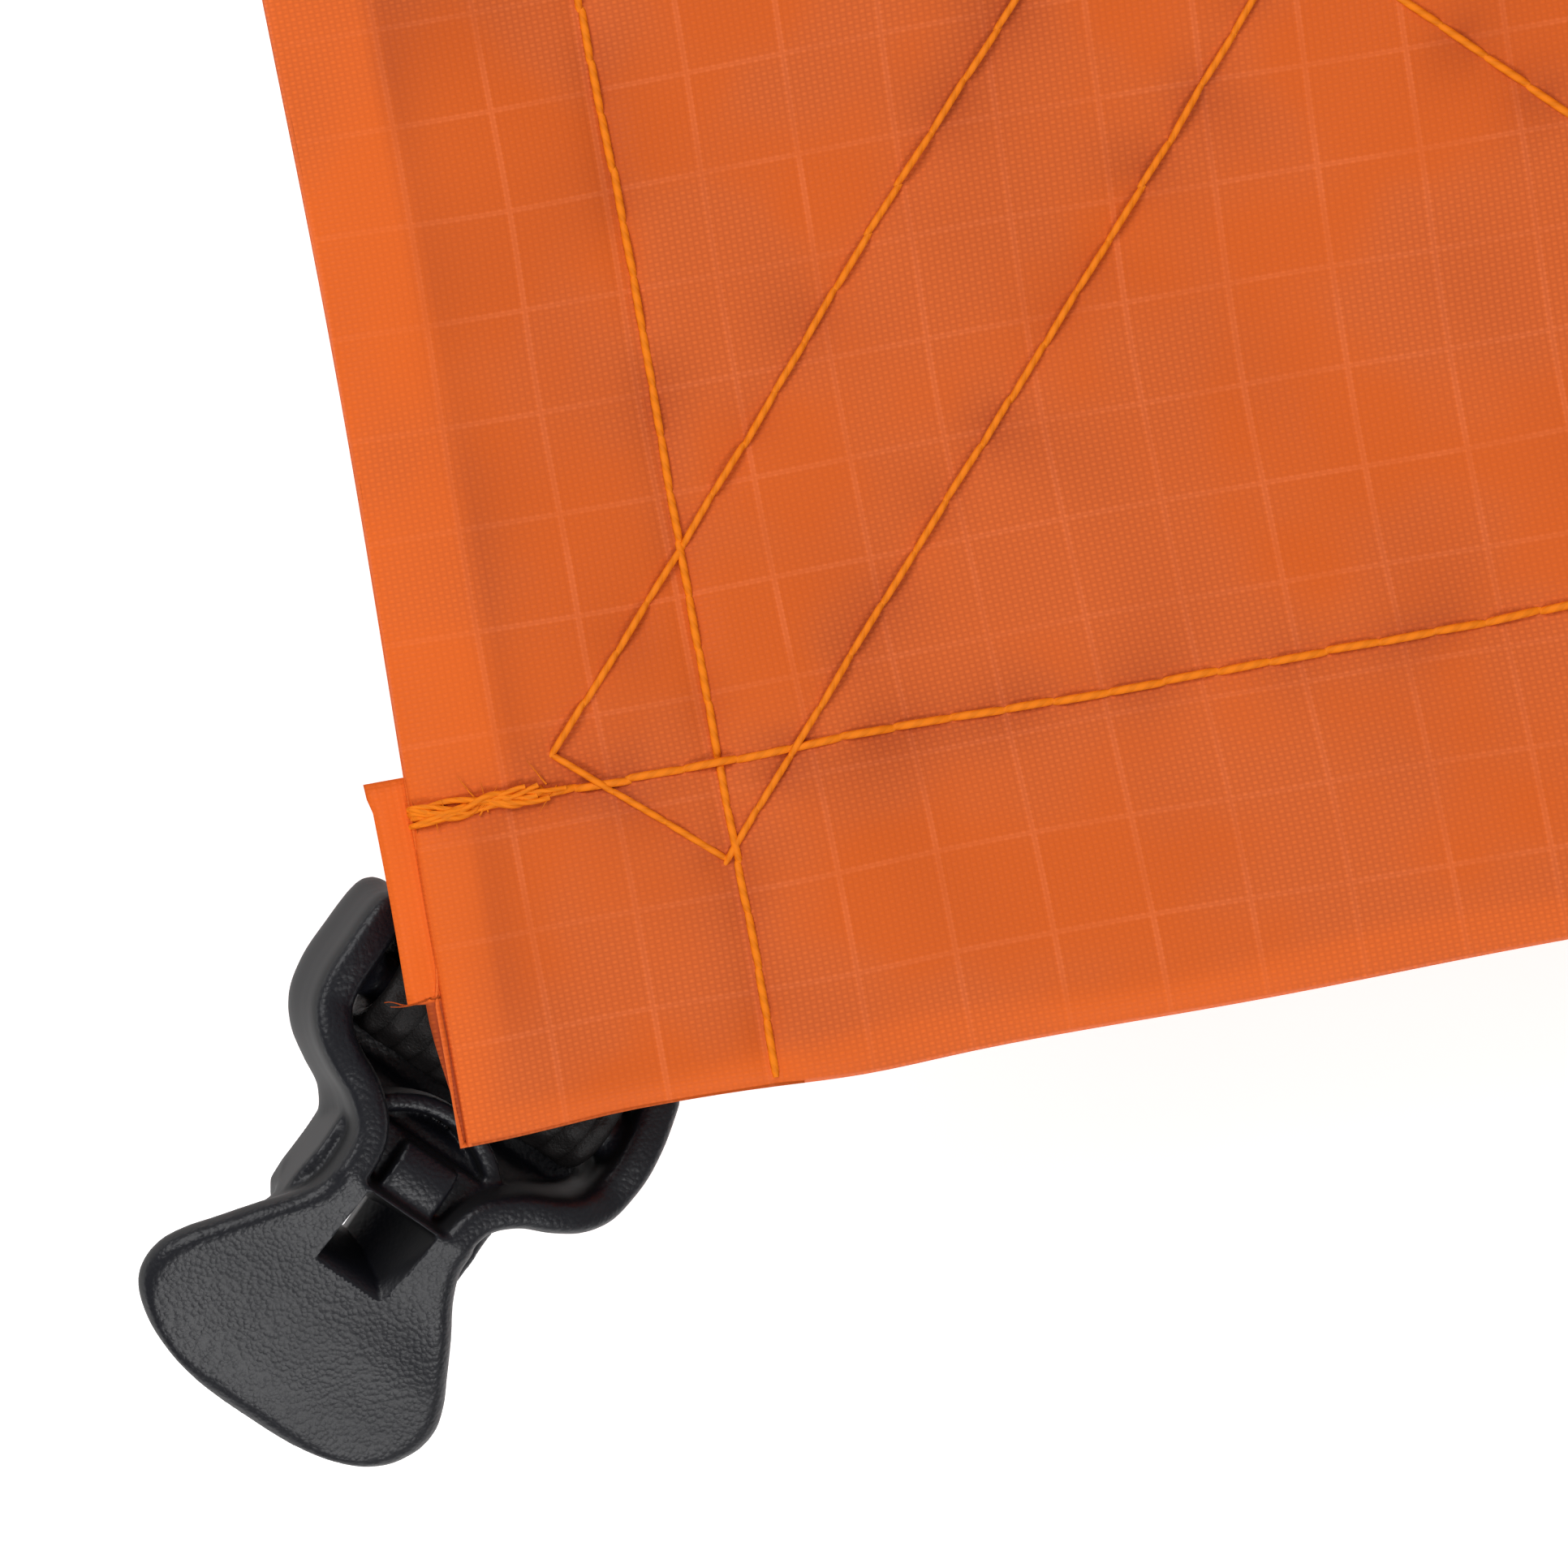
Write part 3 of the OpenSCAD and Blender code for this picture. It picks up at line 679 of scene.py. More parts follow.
def thread_material():
    """Bonded thread: three plies twisted together and glued smooth, with a painted highlight on each ply's crown and
    painted shade between them.
    """
    g = Graph("sewing_thread")
    u, v = g.pattern()
    twist = g.wave(g.plus(g.times(u, 2.0), g.times(v, 1.1)), 1.0)
    crown = g.ramp(twist, -1.0, 0.4)
    soft = g.noise(g.object_place(), 900.0)
    # Painted highlight on the ply crowns, painted shade between them.
    base = g.mix(crown, tuple(c * 0.86 for c in tint("thread")), tint("thread"))
    base = g.mix(g.times(soft, 0.2), base, (0.95, 0.3, 0.02))
    return g.finish(base, 0.6, g.bump(crown, 0.02), Specular_IOR_Level=0.15)


def webbing_material():
    """Coarse woven tape: plump warp ribs that pass over and under, fibres along them, a dull sheen, and a painted
    highlight on the raised ribs.
    """
    g = Graph("woven_webbing")
    u, v = g.pattern()
    rib = g.math("ABSOLUTE", g.wave(u, 2 * RIB))
    step = g.times(g.math("FLOOR", g.math("DIVIDE", u, RIB)), RIB_SHIFT)
    over = g.math("MULTIPLY_ADD", g.wave(g.plus(v, step), PICK), 0.5, 0.5)
    fibre = g.noise(g.object_place(), 5200.0, 3.0, 0.6)
    height = g.times(g.math("POWER", rib, 0.6), g.math("MULTIPLY_ADD", over, 0.6, 0.4))
    # Painted highlight: the raised ribs and fibres are drawn lighter than the tape's black.
    base = g.mix(g.times(height, fibre), tint("webbing"), (0.016, 0.014, 0.014))
    normal = g.bump(fibre, 0.08, g.bump(height, 0.22))
    return g.finish(base, 0.5, normal, Specular_IOR_Level=0.22)


def plastic_material(name, grained=True):
    """Moulded plastic: a fine, softly glossy leather graining where the tool was etched, drawn lighter and bluer there
    as a painted highlight on the upward faces, and duller plain walls.
    """
    g = Graph(name)
    place = g.object_place()
    amount = g.stored("grain_and_highlight") if grained else 0.7
    pebble = g.ramp(g.cells(place, 3900.0), 0.0, 0.95, 1.0, 0.0)
    fine = g.noise(place, 6100.0, 2.0, 0.6)
    height = g.times(g.plus(pebble, g.times(fine, 0.8)), amount)
    # Lighter, bluer copy of the plastic: on the adjusters the upward faces take it as a painted highlight; on the
    # buckle it is the plastic's own colour all over.
    base = tuple(c * k for c, k in zip(tint("plastic"), (1.2, 1.25, 1.6)))
    if grained:
        base = g.mix(amount, tint("plastic"), base)
    smear = g.noise(place, 160.0, 2.0)
    rough = g.math("SUBTRACT", g.math("MULTIPLY_ADD", smear, 0.1, 0.52), g.times(amount, 0.2))
    return g.finish(base, rough, g.bump(height, 0.016), Specular_IOR_Level=0.3)


def strip_material():
    """Plain flexible strip: dull off-white plastic with faint drawn lines along it."""
    g = Graph("stiffener_strip")
    place = g.object_place()
    drawn = g.noise(place, 1500.0, 1.0)
    base = g.mix(drawn, (0.62, 0.62, 0.58), (0.7, 0.7, 0.66))
    return g.finish(base, 0.45, g.bump(drawn, 0.02))


FINISHES = {
    "panel": (cloth_material, "ripstop_panel"),
    # The lining and the hem are darker copies of the ripstop: painted shade.
    "lining": (cloth_material, "ripstop_lining", 0.86, False),
    "tab": (cloth_material, "ripstop_hem", 0.95),
    "thread": (thread_material,),
    "webbing": (webbing_material,),
    "plastic": (plastic_material, "grained_plastic"),
    "buckle": (plastic_material, "buckle_plastic", False),
    "strip": (strip_material,),
}
MATERIALS = {}


def material(name):
    """One copy of each finish."""
    if name not in MATERIALS:
        make, *given = FINISHES[name]
        MATERIALS[name] = make(*given)
    return MATERIALS[name]


# ---- Cloth ----


def steps(*runs):
    """Distances from an edge: each run is (end, spacing), and the runs follow one another."""
    out, at = [0.0], 0.0
    for end, spacing in runs:
        n = max(1, round((end - at) / spacing))
        out += (at + (end - at) * (np.arange(n) + 1) / n).tolist()
        at = end
    return np.array(out)


def panel_lines(s):
    """Grid lines of a panel: close together at the sewn edges, wider apart in the middle."""
    edge = (0.6, 0.2), (20, 0.64), (75, 1.2), (110, 2.2)
    d = steps(*edge, (s.half_w, 3))
    xs = np.concatenate([d - s.half_w, (s.half_w - d)[-2::-1]])
    ys = steps(*edge, (s.band_y - 8, 3), (s.sack_l, 2.2))
    return np.meshgrid(xs, ys, indexing="xy")


def cloth_place(x, y):
    """The cloth's own threads: x and y, bent slightly by slow waves as cut cloth is."""
    u = x + 0.32 * ripple(x, y, 71, 60, 4) + 0.04 * ripple(x, y, 72, 14, 4)
    v = y + 0.3 * ripple(x, y, 73, 60, 4) + 0.04 * ripple(x, y, 74, 14, 4)
    return np.stack([u, v], -1)


def fold_highlight_mark(s, x, y):
    """Painted highlight where the cloth is rolled over: it is drawn paler there.

    There is a band along each side, narrower at the ear's tip, and a thin one along the bottom.
    """
    d = s.half_w - np.abs(x)
    wide = np.where(y > s.hem_w, 5.3, 1.4 + 1.9 * np.clip(y / 16, 0, 1)) + 0.25 * ripple(y, x * 0, 81, 12, 3)
    side = smooth((wide - d) / 2.6 + 0.5)
    low = 1.9 + 0.5 * ripple(x, y * 0, 82, 18, 3)
    bottom = smooth((low - y) / 1.4 + 0.5)
    return np.clip(np.maximum(side, bottom * 0.9), 0, 1) * 0.52


def shade_mark(s, x, y):
    """Where the cloth is drawn dark with painted shade.

    There are broken marks where the thread draws it in, and a band just inside each side fold; both are painted shade.
    """
    total = np.zeros(np.broadcast(x, y).shape)
    for n, (_, along, across, on) in enumerate(near_seams(s, x, y, 1)):
        beat = 0.35 + 0.65 * ripple(along, across * 0.3, 90 + n, 6.5, 5)
        total = np.maximum(total, on * np.clip(beat, 0, 1) * np.exp(-np.abs(across) / 1.6))
    past = s.half_w - np.abs(x) - np.where(y > s.hem_w, 5.3, 3.2)
    reach = (1.9 + 0.9 * ripple(y, x * 0, 97, 23, 3)).clip(0.8)
    band = smooth((past + 0.6) / 0.9) * np.exp(-np.clip(past, 0, None) / reach)
    band *= smooth((y - 3) / 5) * (0.75 + 0.25 * ripple(x, y, 98, 14))
    return np.clip(np.maximum(total, band) + 0.12 * ripple(x, y, 99, 11), 0, 1)


class SACK_OT_panels(bpy.types.Operator):
    """Makes the front and back panels as full cloth sheets with folded, stitched edges"""

    bl_idname = "sack.panels"
    bl_label = "Panels"

    def execute(self, context):
        s = sizes()
        x, y = panel_lines(s)
        dx, dy = edge_shift(s, x, y)
        lip_r = 0.72
        turn = np.linspace(0, np.pi, 9)[1:, None]
        gx = np.concatenate([x, np.repeat(x[-1:], 8, 0)])
        gy = np.concatenate([y, s.sack_l + np.repeat(turn * lip_r, x.shape[1], 1)])
        for name, height, face in (("front", front_z, 1), ("back", back_z, -1)):
            p = points(x + dx, y + dy, height(s, x, y))
            if face < 0:
                p[..., 0] += np.sign(x) * 0.34 * (s.half_w - np.abs(x) < 0.7) * smooth((9 - y) / 2)
            parted = np.clip(fullness(s, x[-1], y[-1]) * 3, 0, 1)
            lip = p[-1] + points(0, lip_r * np.sin(turn), -face * (lip_r * (1 - np.cos(turn))) * parted)
            lip[..., 1] -= lip_r
            p[-1, :, 1] -= lip_r
            parts = np.concatenate([p, lip]), cloth_place(gx, gy), gx, gy
            if face > 0:
                parts = [a.swapaxes(0, 1) for a in parts]
            obj = Shape().grid(*parts[:2]).make(f"{name}_cloth")
            # The fold attribute holds the painted highlight of the rolled edges.
            attribute(obj, "fold", fold_highlight_mark(s, *parts[2:]))
            # The shade attribute holds the painted shade beside the seams and inside the side folds.
            attribute(obj, "shade", shade_mark(s, *parts[2:]))
            thicken(obj, 0.1, -1)
            settle(obj, material("panel"), SACK, [f"{name}_panel"])
        return {"FINISHED"}


def side_hems(s):
    """The turned-in layer along each side."""
    d = steps((s.hem_w - 0.3, 1.4)) + 0.25
    y = steps((30, 0.8), (s.sack_l - 1.2, 3))
    for side, name in ((-1, "left"), (1, "right")):
        gx, gy = np.meshgrid(side * (s.half_w - d), y, indexing="xy")
        dx, dy = edge_shift(s, gx, gy)
        z = seam_z(s, gy) + s.lining + 0.05 * ripple(gx, gy, 101, 9) + 0.8 * pull(s, gx, gy, 20) * 0.3
        obj = Shape().grid(points(gx + dx, gy + dy, z), cloth_place(gx, gy)).make(f"side_hem_{name}_cloth")
        thicken(obj, 0.1, 0)
        settle(obj, material("lining"), SACK, [f"side_hem_{name}"])


def bottom_hem(s):
    """The turned-in layer along the bottom: it stays inside the edge, but above tab_y its ends stand out as tabs."""
    tab_y = 7.4
    u = np.concatenate([-1 + steps((0.04, 0.004), (1, 0.02)), steps((0.96, 0.02), (1, 0.004))[1:]])
    y = np.concatenate([np.linspace(0.35, 7.3, 8), np.linspace(7.42, 18.5, 16)])
    gu, gy = np.meshgrid(u, y, indexing="xy")
    tab = 1.62 + 0.2 * smooth((gy - 17.0) / 1.0) - 0.06 * np.sin((gy - tab_y) / 11 * np.pi)
    strip = 0.12 + 0.62 * smooth((gy - 0.3) / 6.5)
    gx = gu * (s.half_w + np.where(gy > tab_y, tab, strip))
    out = smooth((np.abs(gx) - s.half_w + 1) / 2.4)
    dx, dy = edge_shift(s, np.clip(gx, -s.half_w, s.half_w), gy)
    z = seam_z(s, gy) - s.lining + 0.05 * ripple(gx, gy, 102, 8) + out * (0.12 + 0.15 * np.sin(gy * 0.9))
    p = points(gx + dx * (1 - out), gy + dy * np.clip(1 - gy / 6, 0, 1), z)
    obj = Shape().grid(p, cloth_place(gx, gy)).make("bottom_hem_cloth")
    # The tabs are drawn in the painted highlight of the folded edges.
    attribute(obj, "fold", np.where(gy > tab_y, 1.0, 0.0))
    # Below the tabs the strip is the inside of the hem's fold, drawn in painted shade.
    attribute(obj, "shade", np.where(gy > tab_y, 0.0, 1.5))
    thicken(obj, 0.12, 0)
    settle(obj, material("tab"), SACK, ["bottom_hem"])
    return obj


def hem_fray(s):
    """A few loose threads at the lower corner of each tab."""
    fray = Shape()
    rng = np.random.default_rng(7)
    t = np.linspace(0, 1, 14)
    for side in (-1, 1):
        for n in range(5):
            out, up = rng.uniform(-0.4, 0.9), rng.uniform(-0.05, 0.1)
            start = np.array([side * (s.half_w + out), 7.5 + up, s.seam_h - 0.05])
            run = rng.uniform(0.9, 2.4)
            droop = -0.1 * np.sin(t * rng.uniform(2, 5)) * run
            path = start + points(side * run * t, droop, 0.12 * np.sin(t * 4 + n))
            fray.grid(tube(path, 0.045 * (1 - 0.6 * t), 6), around=True, caps=True)
    threads = fray.make("hem_fray", outward=True)
    return settle(threads, material("tab"), SACK, [])


class SACK_OT_hems(bpy.types.Operator):
    """Makes the turned-in hems between the panels, with the bottom hem's ends showing at the sides"""

    bl_idname = "sack.hems"
    bl_label = "Hems"

    def execute(self, context):
        s = sizes()
        side_hems(s)
        obj, threads = bottom_hem(s), hem_fray(s)
        return {"FINISHED"}


def tube(path, radius, sides):
    """Rings of a round tube along a path, each square to the path's direction there, with one or many radii."""
    d = unit(np.gradient(path, axis=0))
    flat = np.cross(d, [0, 0, 1.0])
    flat /= np.linalg.norm(flat, axis=1, keepdims=True) + 1e-12
    up = np.cross(flat, d)
    a = circle(sides)[None, :, None]
    r = np.broadcast_to(radius, len(path))[:, None, None]
    return path[:, None] + r * (np.cos(a) * flat[:, None] + np.sin(a) * up[:, None])


def tube_places(path, sides):
    """A tube's pattern places: its turn round from 0 to 1, and millimetres along."""
    return np.stack(np.broadcast_arrays(np.arange(sides + 1)[None] / sides, run_along(path)[:, None]), -1)


class SACK_OT_patches(bpy.types.Operator):
    """Makes the triangular reinforcement under each ear"""

    bl_idname = "sack.patches"
    bl_label = "Corner patches"

    def execute(self, context):
        s = sizes()
        leg = s.ear_leg - 1
        a, b = np.meshgrid(np.linspace(0, 1, 70), np.linspace(0, 1, 50), indexing="ij")
        cx = 0.5 + a * leg * (1 - b)
        cy = 0.5 + a * leg * b
        for side, name in ((-1, "left"), (1, "right")):
            x = side * (s.half_w - cx)
            z = s.seam_h - 1.5 + 0.05 * ripple(x, cy, 111, 12) - 0.35 * pull(s, x, cy, 50)
            dx, dy = edge_shift(s, x, cy)
            p, uv = points(x + dx, cy + dy, z), cloth_place(x, cy)
            if side < 0:
                p, uv = p[::-1], uv[::-1]
            obj = Shape().grid(p[:, ::-1], uv[:, ::-1]).make(f"corner_patch_{name}_cloth")
            thicken(obj, 0.1, 0)
            settle(obj, material("lining"), SACK, [f"corner_patch_{name}"])
        return {"FINISHED"}


class SACK_OT_mouth(bpy.types.Operator):
    """Makes the facing and the stiffener inside each lip of the mouth"""

    bl_idname = "sack.mouth"
    bl_label = "Mouth facings"

    def execute(self, context):
        s = sizes()
        half = s.half_w - s.hem_w - 6
        xs, ys = np.linspace(-half, half, 90), np.linspace(s.band_y, s.sack_l - 0.8, 16)
        x, y = np.meshgrid(xs, ys, indexing="xy")
        uv = cloth_place(x, y)
        inside = np.clip(fullness(s, x, y) * 4, 0.25, 1)
        for face, name, height in ((1, "front", front_z), (-1, "back", back_z)):
            z = height(s, x, y)

            def layer(label, inward, thick, narrow=1.0, drop=0.3):
                p = points(x * narrow, y - drop, z - face * inward * inside)
                obj = Shape().grid(p[::face], uv[::face]).make(label)
                thicken(obj, thick, 0)
                return obj

            facing = layer(f"mouth_facing_{name}_cloth", 1.4, 0.1)
            settle(facing, material("lining"), SACK, [f"mouth_facing_{name}"])
            strip = layer(f"lip_stiffener_{name}", 0.75, 0.5, 0.985, 1.4)
            settle(strip, material("strip"), SACK, [f"stiffener_{name}"])
        return {"FINISHED"}


# ---- Webbing ----


def tie_frame(s, p):
    """A left tie-out's own frame, x towards the paddle from above the sewing bar, carried to the sack."""
    x, y = turned(p[..., 0], p[..., 1], math.pi + s.tie_angle)
    return points(x + s.bar[0] - s.half_w, y + s.bar[1], p[..., 2] + s.seam_h)


def bar_frame(s, p):
    """The adjuster's frame at its sewing bar: rolled about x, turned aside, then dropped below the seam."""
    y, z = turned(p[..., 1], p[..., 2], -s.roll)
    x, y = turned(p[..., 0], y, -s.yaw)
    return points(x, y, z - s.bar_drop)


def tape(centre, across, wide, thick):
    """A webbing tape along a centre line: rings of a flat oval, wide along across.

    Its ribs stand out on both faces, and each rises and sinks along the tape as it passes over and under.
    """
    out = unit(np.cross(unit(np.gradient(centre, axis=0)), across))
    ca, sa = np.cos(circle(64)), np.sin(circle(64))
    along_w = np.sign(ca) * np.abs(ca) ** 0.8 * wide / 2
    edge = np.clip((wide / 2 - np.abs(along_w)) / 0.8, 0, 1)
    along_t = np.sign(sa) * np.sqrt(1 - (1 - edge) ** 2) * thick / 2
    along_t = np.where(np.abs(sa) < 1e-6, 0, along_t)
    run = run_along(centre)[:, None]
    uv = np.stack(np.broadcast_arrays(np.append(along_w, along_w[0])[None], run), -1)
    rib = np.abs(np.sin(np.pi * along_w / RIB))[None] ** 0.6
    over = 0.5 + 0.5 * np.sin(2 * np.pi * (run + RIB_SHIFT * np.floor(along_w / RIB)[None]) / PICK)
    relief = (0.11 * rib * (0.4 + 0.6 * over) - 0.06) * np.sign(sa)[None] * edge[None]
    rise = along_t[None, :, None] + relief[..., None]
    return centre[:, None] + along_w[None, :, None] * across[:, None] + rise * out[:, None], uv


def half_turn(radius):
    """Fifteen points round a bar, from its top over x to its underside."""
    a = np.linspace(np.pi / 2, -np.pi / 2, 15)
    return points(radius * np.cos(a), 0, radius * np.sin(a))


def tie_line(s):
    """A tie-out web's centre line and the way across it, in its own frame.

    It runs level under the ear, eases into the bar's rolled and turned frame, goes round the bar and comes
    back below.
    """
    level, lead = 150, 34
    flat = np.linspace(2.6 - s.crease, 1.0 - s.web_lead, level)
    top = points(flat, 0, s.web_top - s.web_t / 2)
    low = points(flat[::-1], 0, s.web_top - 1.5 * s.web_t)
    bend = bar_frame(s, half_turn(1.5 + s.web_t / 2))
    part = np.linspace(0, 1, lead + 2)[1:-1, None]
    t = smooth(part)
    ease = np.concatenate([part, t, t], 1)
    rise = top[-1] + (bend[0] - top[-1]) * ease
    fall = (low[0] + (bend[-1] - low[0]) * ease)[::-1]
    centre = np.concatenate([top, rise, bend, fall, low])
    still = np.zeros(level)
    turn = np.concatenate([still, t[:, 0], np.ones(len(bend)), t[::-1, 0], still])
    across = points(np.sin(s.yaw * turn), np.cos(s.roll * turn) * np.cos(s.yaw * turn), -np.sin(s.roll * turn))
    return centre, across


def tab_line(s):
    """A buckle tab's centre line and the way across it, in its own frame.

    It runs over the mouth's end, goes round the buckle's bar and comes back below.
    """
    ring, near = 1.7 + s.web_t / 2, 1.35 + s.web_t / 2
    part = np.linspace(0, 1, 30)[1:-1]
    x = np.concatenate([np.linspace(-27.6, -13, 40), np.linspace(-13, 0, 30)[1:-1]])
    z = np.concatenate([np.full(40, near), near + (ring - near) * smooth(part)])
    top = points(x, 0, z)
    centre = np.concatenate([top, half_turn(ring), top[::-1] * np.array([1, 1, -1])])
    return centre, np.tile([0.0, 1.0, 0.0], (len(centre), 1))


class SACK_OT_webbing(bpy.types.Operator):
    """Makes the webbing: the tie-outs folded round their sewing bars, and the buckle tabs"""

    bl_idname = "sack.webbing"
    bl_label = "Webbing"

    def execute(self, context):
        s = sizes()
        tab_at = np.array([s.half_w + 13, s.sack_l - 5 - s.web_w / 2, s.mouth_h])
        for kind, (centre, across), carry, sides in (
            ("tie", tie_line(s), lambda p: tie_frame(s, p), ("left", "right")),
            ("buckle", tab_line(s), lambda p: p + tab_at, ("right", "left")),
        ):
            p, uv = tape(centre, across, s.web_w - 0.2, s.web_t)
            shape = Shape().grid(carry(p), uv, around=True, caps=True)
            made = dict(zip(sides, (shape, shape.mirrored())))
            run = run_along(centre)[-1]
            for name in ("left", "right"):
                obj = made[name].make(f"{kind}_tape_{name}", outward=True)
                settle(obj, material("webbing"), SACK, [f"{kind}_web_{name}"])
        return {"FINISHED"}


# ---- Moulded fittings ----


def spline(given, n):
    """n points along a smooth curve through the given ones, by cubics whose slopes follow their neighbours."""
    p = np.array(given, float)
    t = run_along(p)
    m = np.gradient(p, t, axis=0)
    q = np.linspace(0, t[-1], n)
    k = np.clip(np.searchsorted(t, q, side="right") - 1, 0, len(t) - 2)
    h = (t[k + 1] - t[k])[:, None]
    f = ((q - t[k]) / (t[k + 1] - t[k]))[:, None]
    return (
        (2 * f**3 - 3 * f**2 + 1) * p[k]
        + (f**3 - 2 * f**2 + f) * h * m[k]
        + (3 * f**2 - 2 * f**3) * p[k + 1]
        + (f**3 - f**2) * h * m[k + 1]
    )


def box_ring(low, high, radius, n=6):
    """A rounded rectangle as a ring of (across, up) points, from its low to its high corner."""
    (x0, y0), (x1, y1) = np.array(low, float) + radius, np.array(high, float) - radius
    a = np.linspace(0, np.pi / 2, n)
    corners = enumerate(((x1, y1), (x0, y1), (x0, y0), (x1, y0)))
    turns = [(x, y, a + k * np.pi / 2) for k, (x, y) in corners]
    return np.concatenate([np.stack([x + radius * np.cos(b), y + radius * np.sin(b)], -1) for x, y, b in turns])


DROOP = math.radians(14.5)
PADDLE_ROOT = 8.8


def frame_top(u):
    """Height of the adjuster frame's top.

    It rises from the horns over the lobes to the waist, and falls at the droop's angle past the paddle's root.
    """
    rise = 1.9 + 0.6 * smooth((u + 5.8) / 6.5) + 1.2 * smooth((u - 1.8) / 5.2)
    return rise - np.tan(DROOP) * np.clip(u - PADDLE_ROOT, 0, None)


def rounded_run(u, half, low, high, radius=0.28):
    """Rings of a rounded rectangle along u, with a half width and a low and a high side given at each u."""
    a = np.linspace(0, np.pi / 2, 6)
    turn = np.concatenate([a, a + np.pi / 2, a + np.pi, a + 3 * np.pi / 2])
    quarter = np.repeat(np.arange(4), 6) * np.pi / 2 + np.pi / 4
    sx, sz = np.sign(np.cos(quarter)), np.sign(np.sin(quarter))
    mid, tall = (high + low) / 2, (high - low) / 2
    y = sx[None] * (half[:, None] - radius) + radius * np.cos(turn)[None]
    z = mid[:, None] + sz[None] * (tall[:, None] - radius) + radius * np.sin(turn)[None]
    return points(u[:, None], y, z)


def adjuster_wall(tip, side):
    """One side wall of the frame: tall rounded rings along its outline, spreading from the lip to a wider foot.

    tip is the outline's half width at the horn, and side is 1 or -1.
    """
    rings = 110
    k = 0.05 + 0.27 * side
    horn = [(-4.3, tip), (-3.0, tip + 0.35), (-0.8, 9.95 - 0.1 * side), (1.4, 10.0)]
    lobe = [(3.2 + k, 9.55), (4.4 + k, 8.6), (5.3 + k, 7.2), (6.1 + k, 5.5), (7.1 + k, 4.5)]
    waist = [(8.5, 4.25), (9.8, 4.35), (11.2, 4.85), (12.6, 5.6)]
    outer = spline(horn + lobe + waist, rings)
    d = unit(np.gradient(outer, axis=0))
    inward = np.stack([d[:, 1], -d[:, 0]], -1)
    inward *= np.sign(1e-9 - inward[:, 1:2])
    u = outer[:, 0]
    wide = 2.2 - 0.2 * smooth((u - 3) / 3)
    foot = (0.42 + 0.4 * smooth((u - 5) / 2)) * (1 - smooth((u - 10.2) / 1.6))
    a = circle(44)
    across = 0.5 + 0.5 * np.sign(np.cos(a)) * np.abs(np.cos(a)) ** 0.45
    up = np.sign(np.sin(a)) * np.abs(np.sin(a)) ** 0.5
    top = frame_top(u) - 0.16 * smooth((u - 8.5) / 1.2) - 0.75 * smooth((u - 10.2) / 1.6)
    low = -2.5 + 2.6 * smooth((u - 10.2) / 2.2)
    mid, tall = (top + low) / 2, (top - low) / 2
    run = np.linspace(0, 1, rings)
    end = np.sqrt(np.clip(1 - (1 - np.clip(run / 0.06, 0, 1)) ** 2, 0.03, 1))
    z = mid[:, None] + tall[:, None] * up[None] * (0.7 + 0.3 * end[:, None])
    lean = smooth(np.clip(0.5 - up, 0, 1.5) / 1.5)[None] * foot[:, None]
    slope = 0.5 * smooth(np.clip(-up + 0.4, 0, 1))[None] * across[None] * (1 - smooth((u - 2) / 2))[:, None]
    off = wide[:, None] * (0.5 + (across[None] - 0.5) * end[:, None]) - lean * (1 - across[None]) + slope
    p = outer[:, None] + inward[:, None] * off[..., None]
    return np.concatenate([p, z[..., None]], -1) * np.array([1, side, 1])


def paddle_blade():
    """The drooping blade: rings across it whose half width follows its outline.

    It is crowned, curled down at its tip and a little dished on top.
    """
    reach = 13.65
    x = reach * (1 - (1 - np.linspace(0, 1, 90)) ** 1.6) - 0.1
    flare = [(-0.2, 4.2), (1.2, 4.35), (2.4, 4.9), (4.3, 6.2), (6.0, 7.3), (7.6, 8.3), (8.6, 8.7), (9.4, 8.78)]
    tip = [(10.25, 8.65), (11.15, 8.2), (12.15, 7.1), (12.95, 5.3), (13.4, 3.2), (13.6, 0.5)]
    half = spline(flare + tip, 400)
    w = np.interp(x, half[:, 0], half[:, 1])[:, None]
    x = x[:, None]
    thick = 0.9 * np.sqrt(np.clip(1 - (np.clip(x - reach + 1.0, 0, None) / 0.95) ** 2, 0.02, 1))
    flat = np.linspace(-1, 1, 34)[None]
    bend = np.linspace(np.pi / 2, -np.pi / 2, 11)[1:-1]
    side = w - thick
    curve = thick * np.cos(bend)[None]
    y = np.concatenate([side * flat, side + curve, side * flat[:, ::-1], -side - curve], 1)
    up = np.concatenate([np.ones(34), np.sin(bend), -np.ones(34), -np.sin(bend)])[None]
    run_in = smooth((x - 3.4) / 4.5) * smooth((reach - 0.2 - x) / 3.2)
    dish = 0.14 * smooth(1 - (np.abs(y) / (w - 0.3)) ** 2.2) * run_in * np.clip(up, 0, 1) ** 0.5
    curl = 0.35 * (np.clip(x - 2.0, 0, None) / (reach - 2.0)) ** 2.4
    crown = 0.4 * ((y + 2.5) / 8.8) ** 2 * smooth((x - 3.0) / 5.0)
    z = up * thick - 0.9 - dish - curl - crown
    y = y + 0.12 + 0.3 * smooth((x - 10.5) / 2.5)
    out, rise = turned(x, z, -DROOP)
    return points(PADDLE_ROOT + out, y, 3.7 + rise)


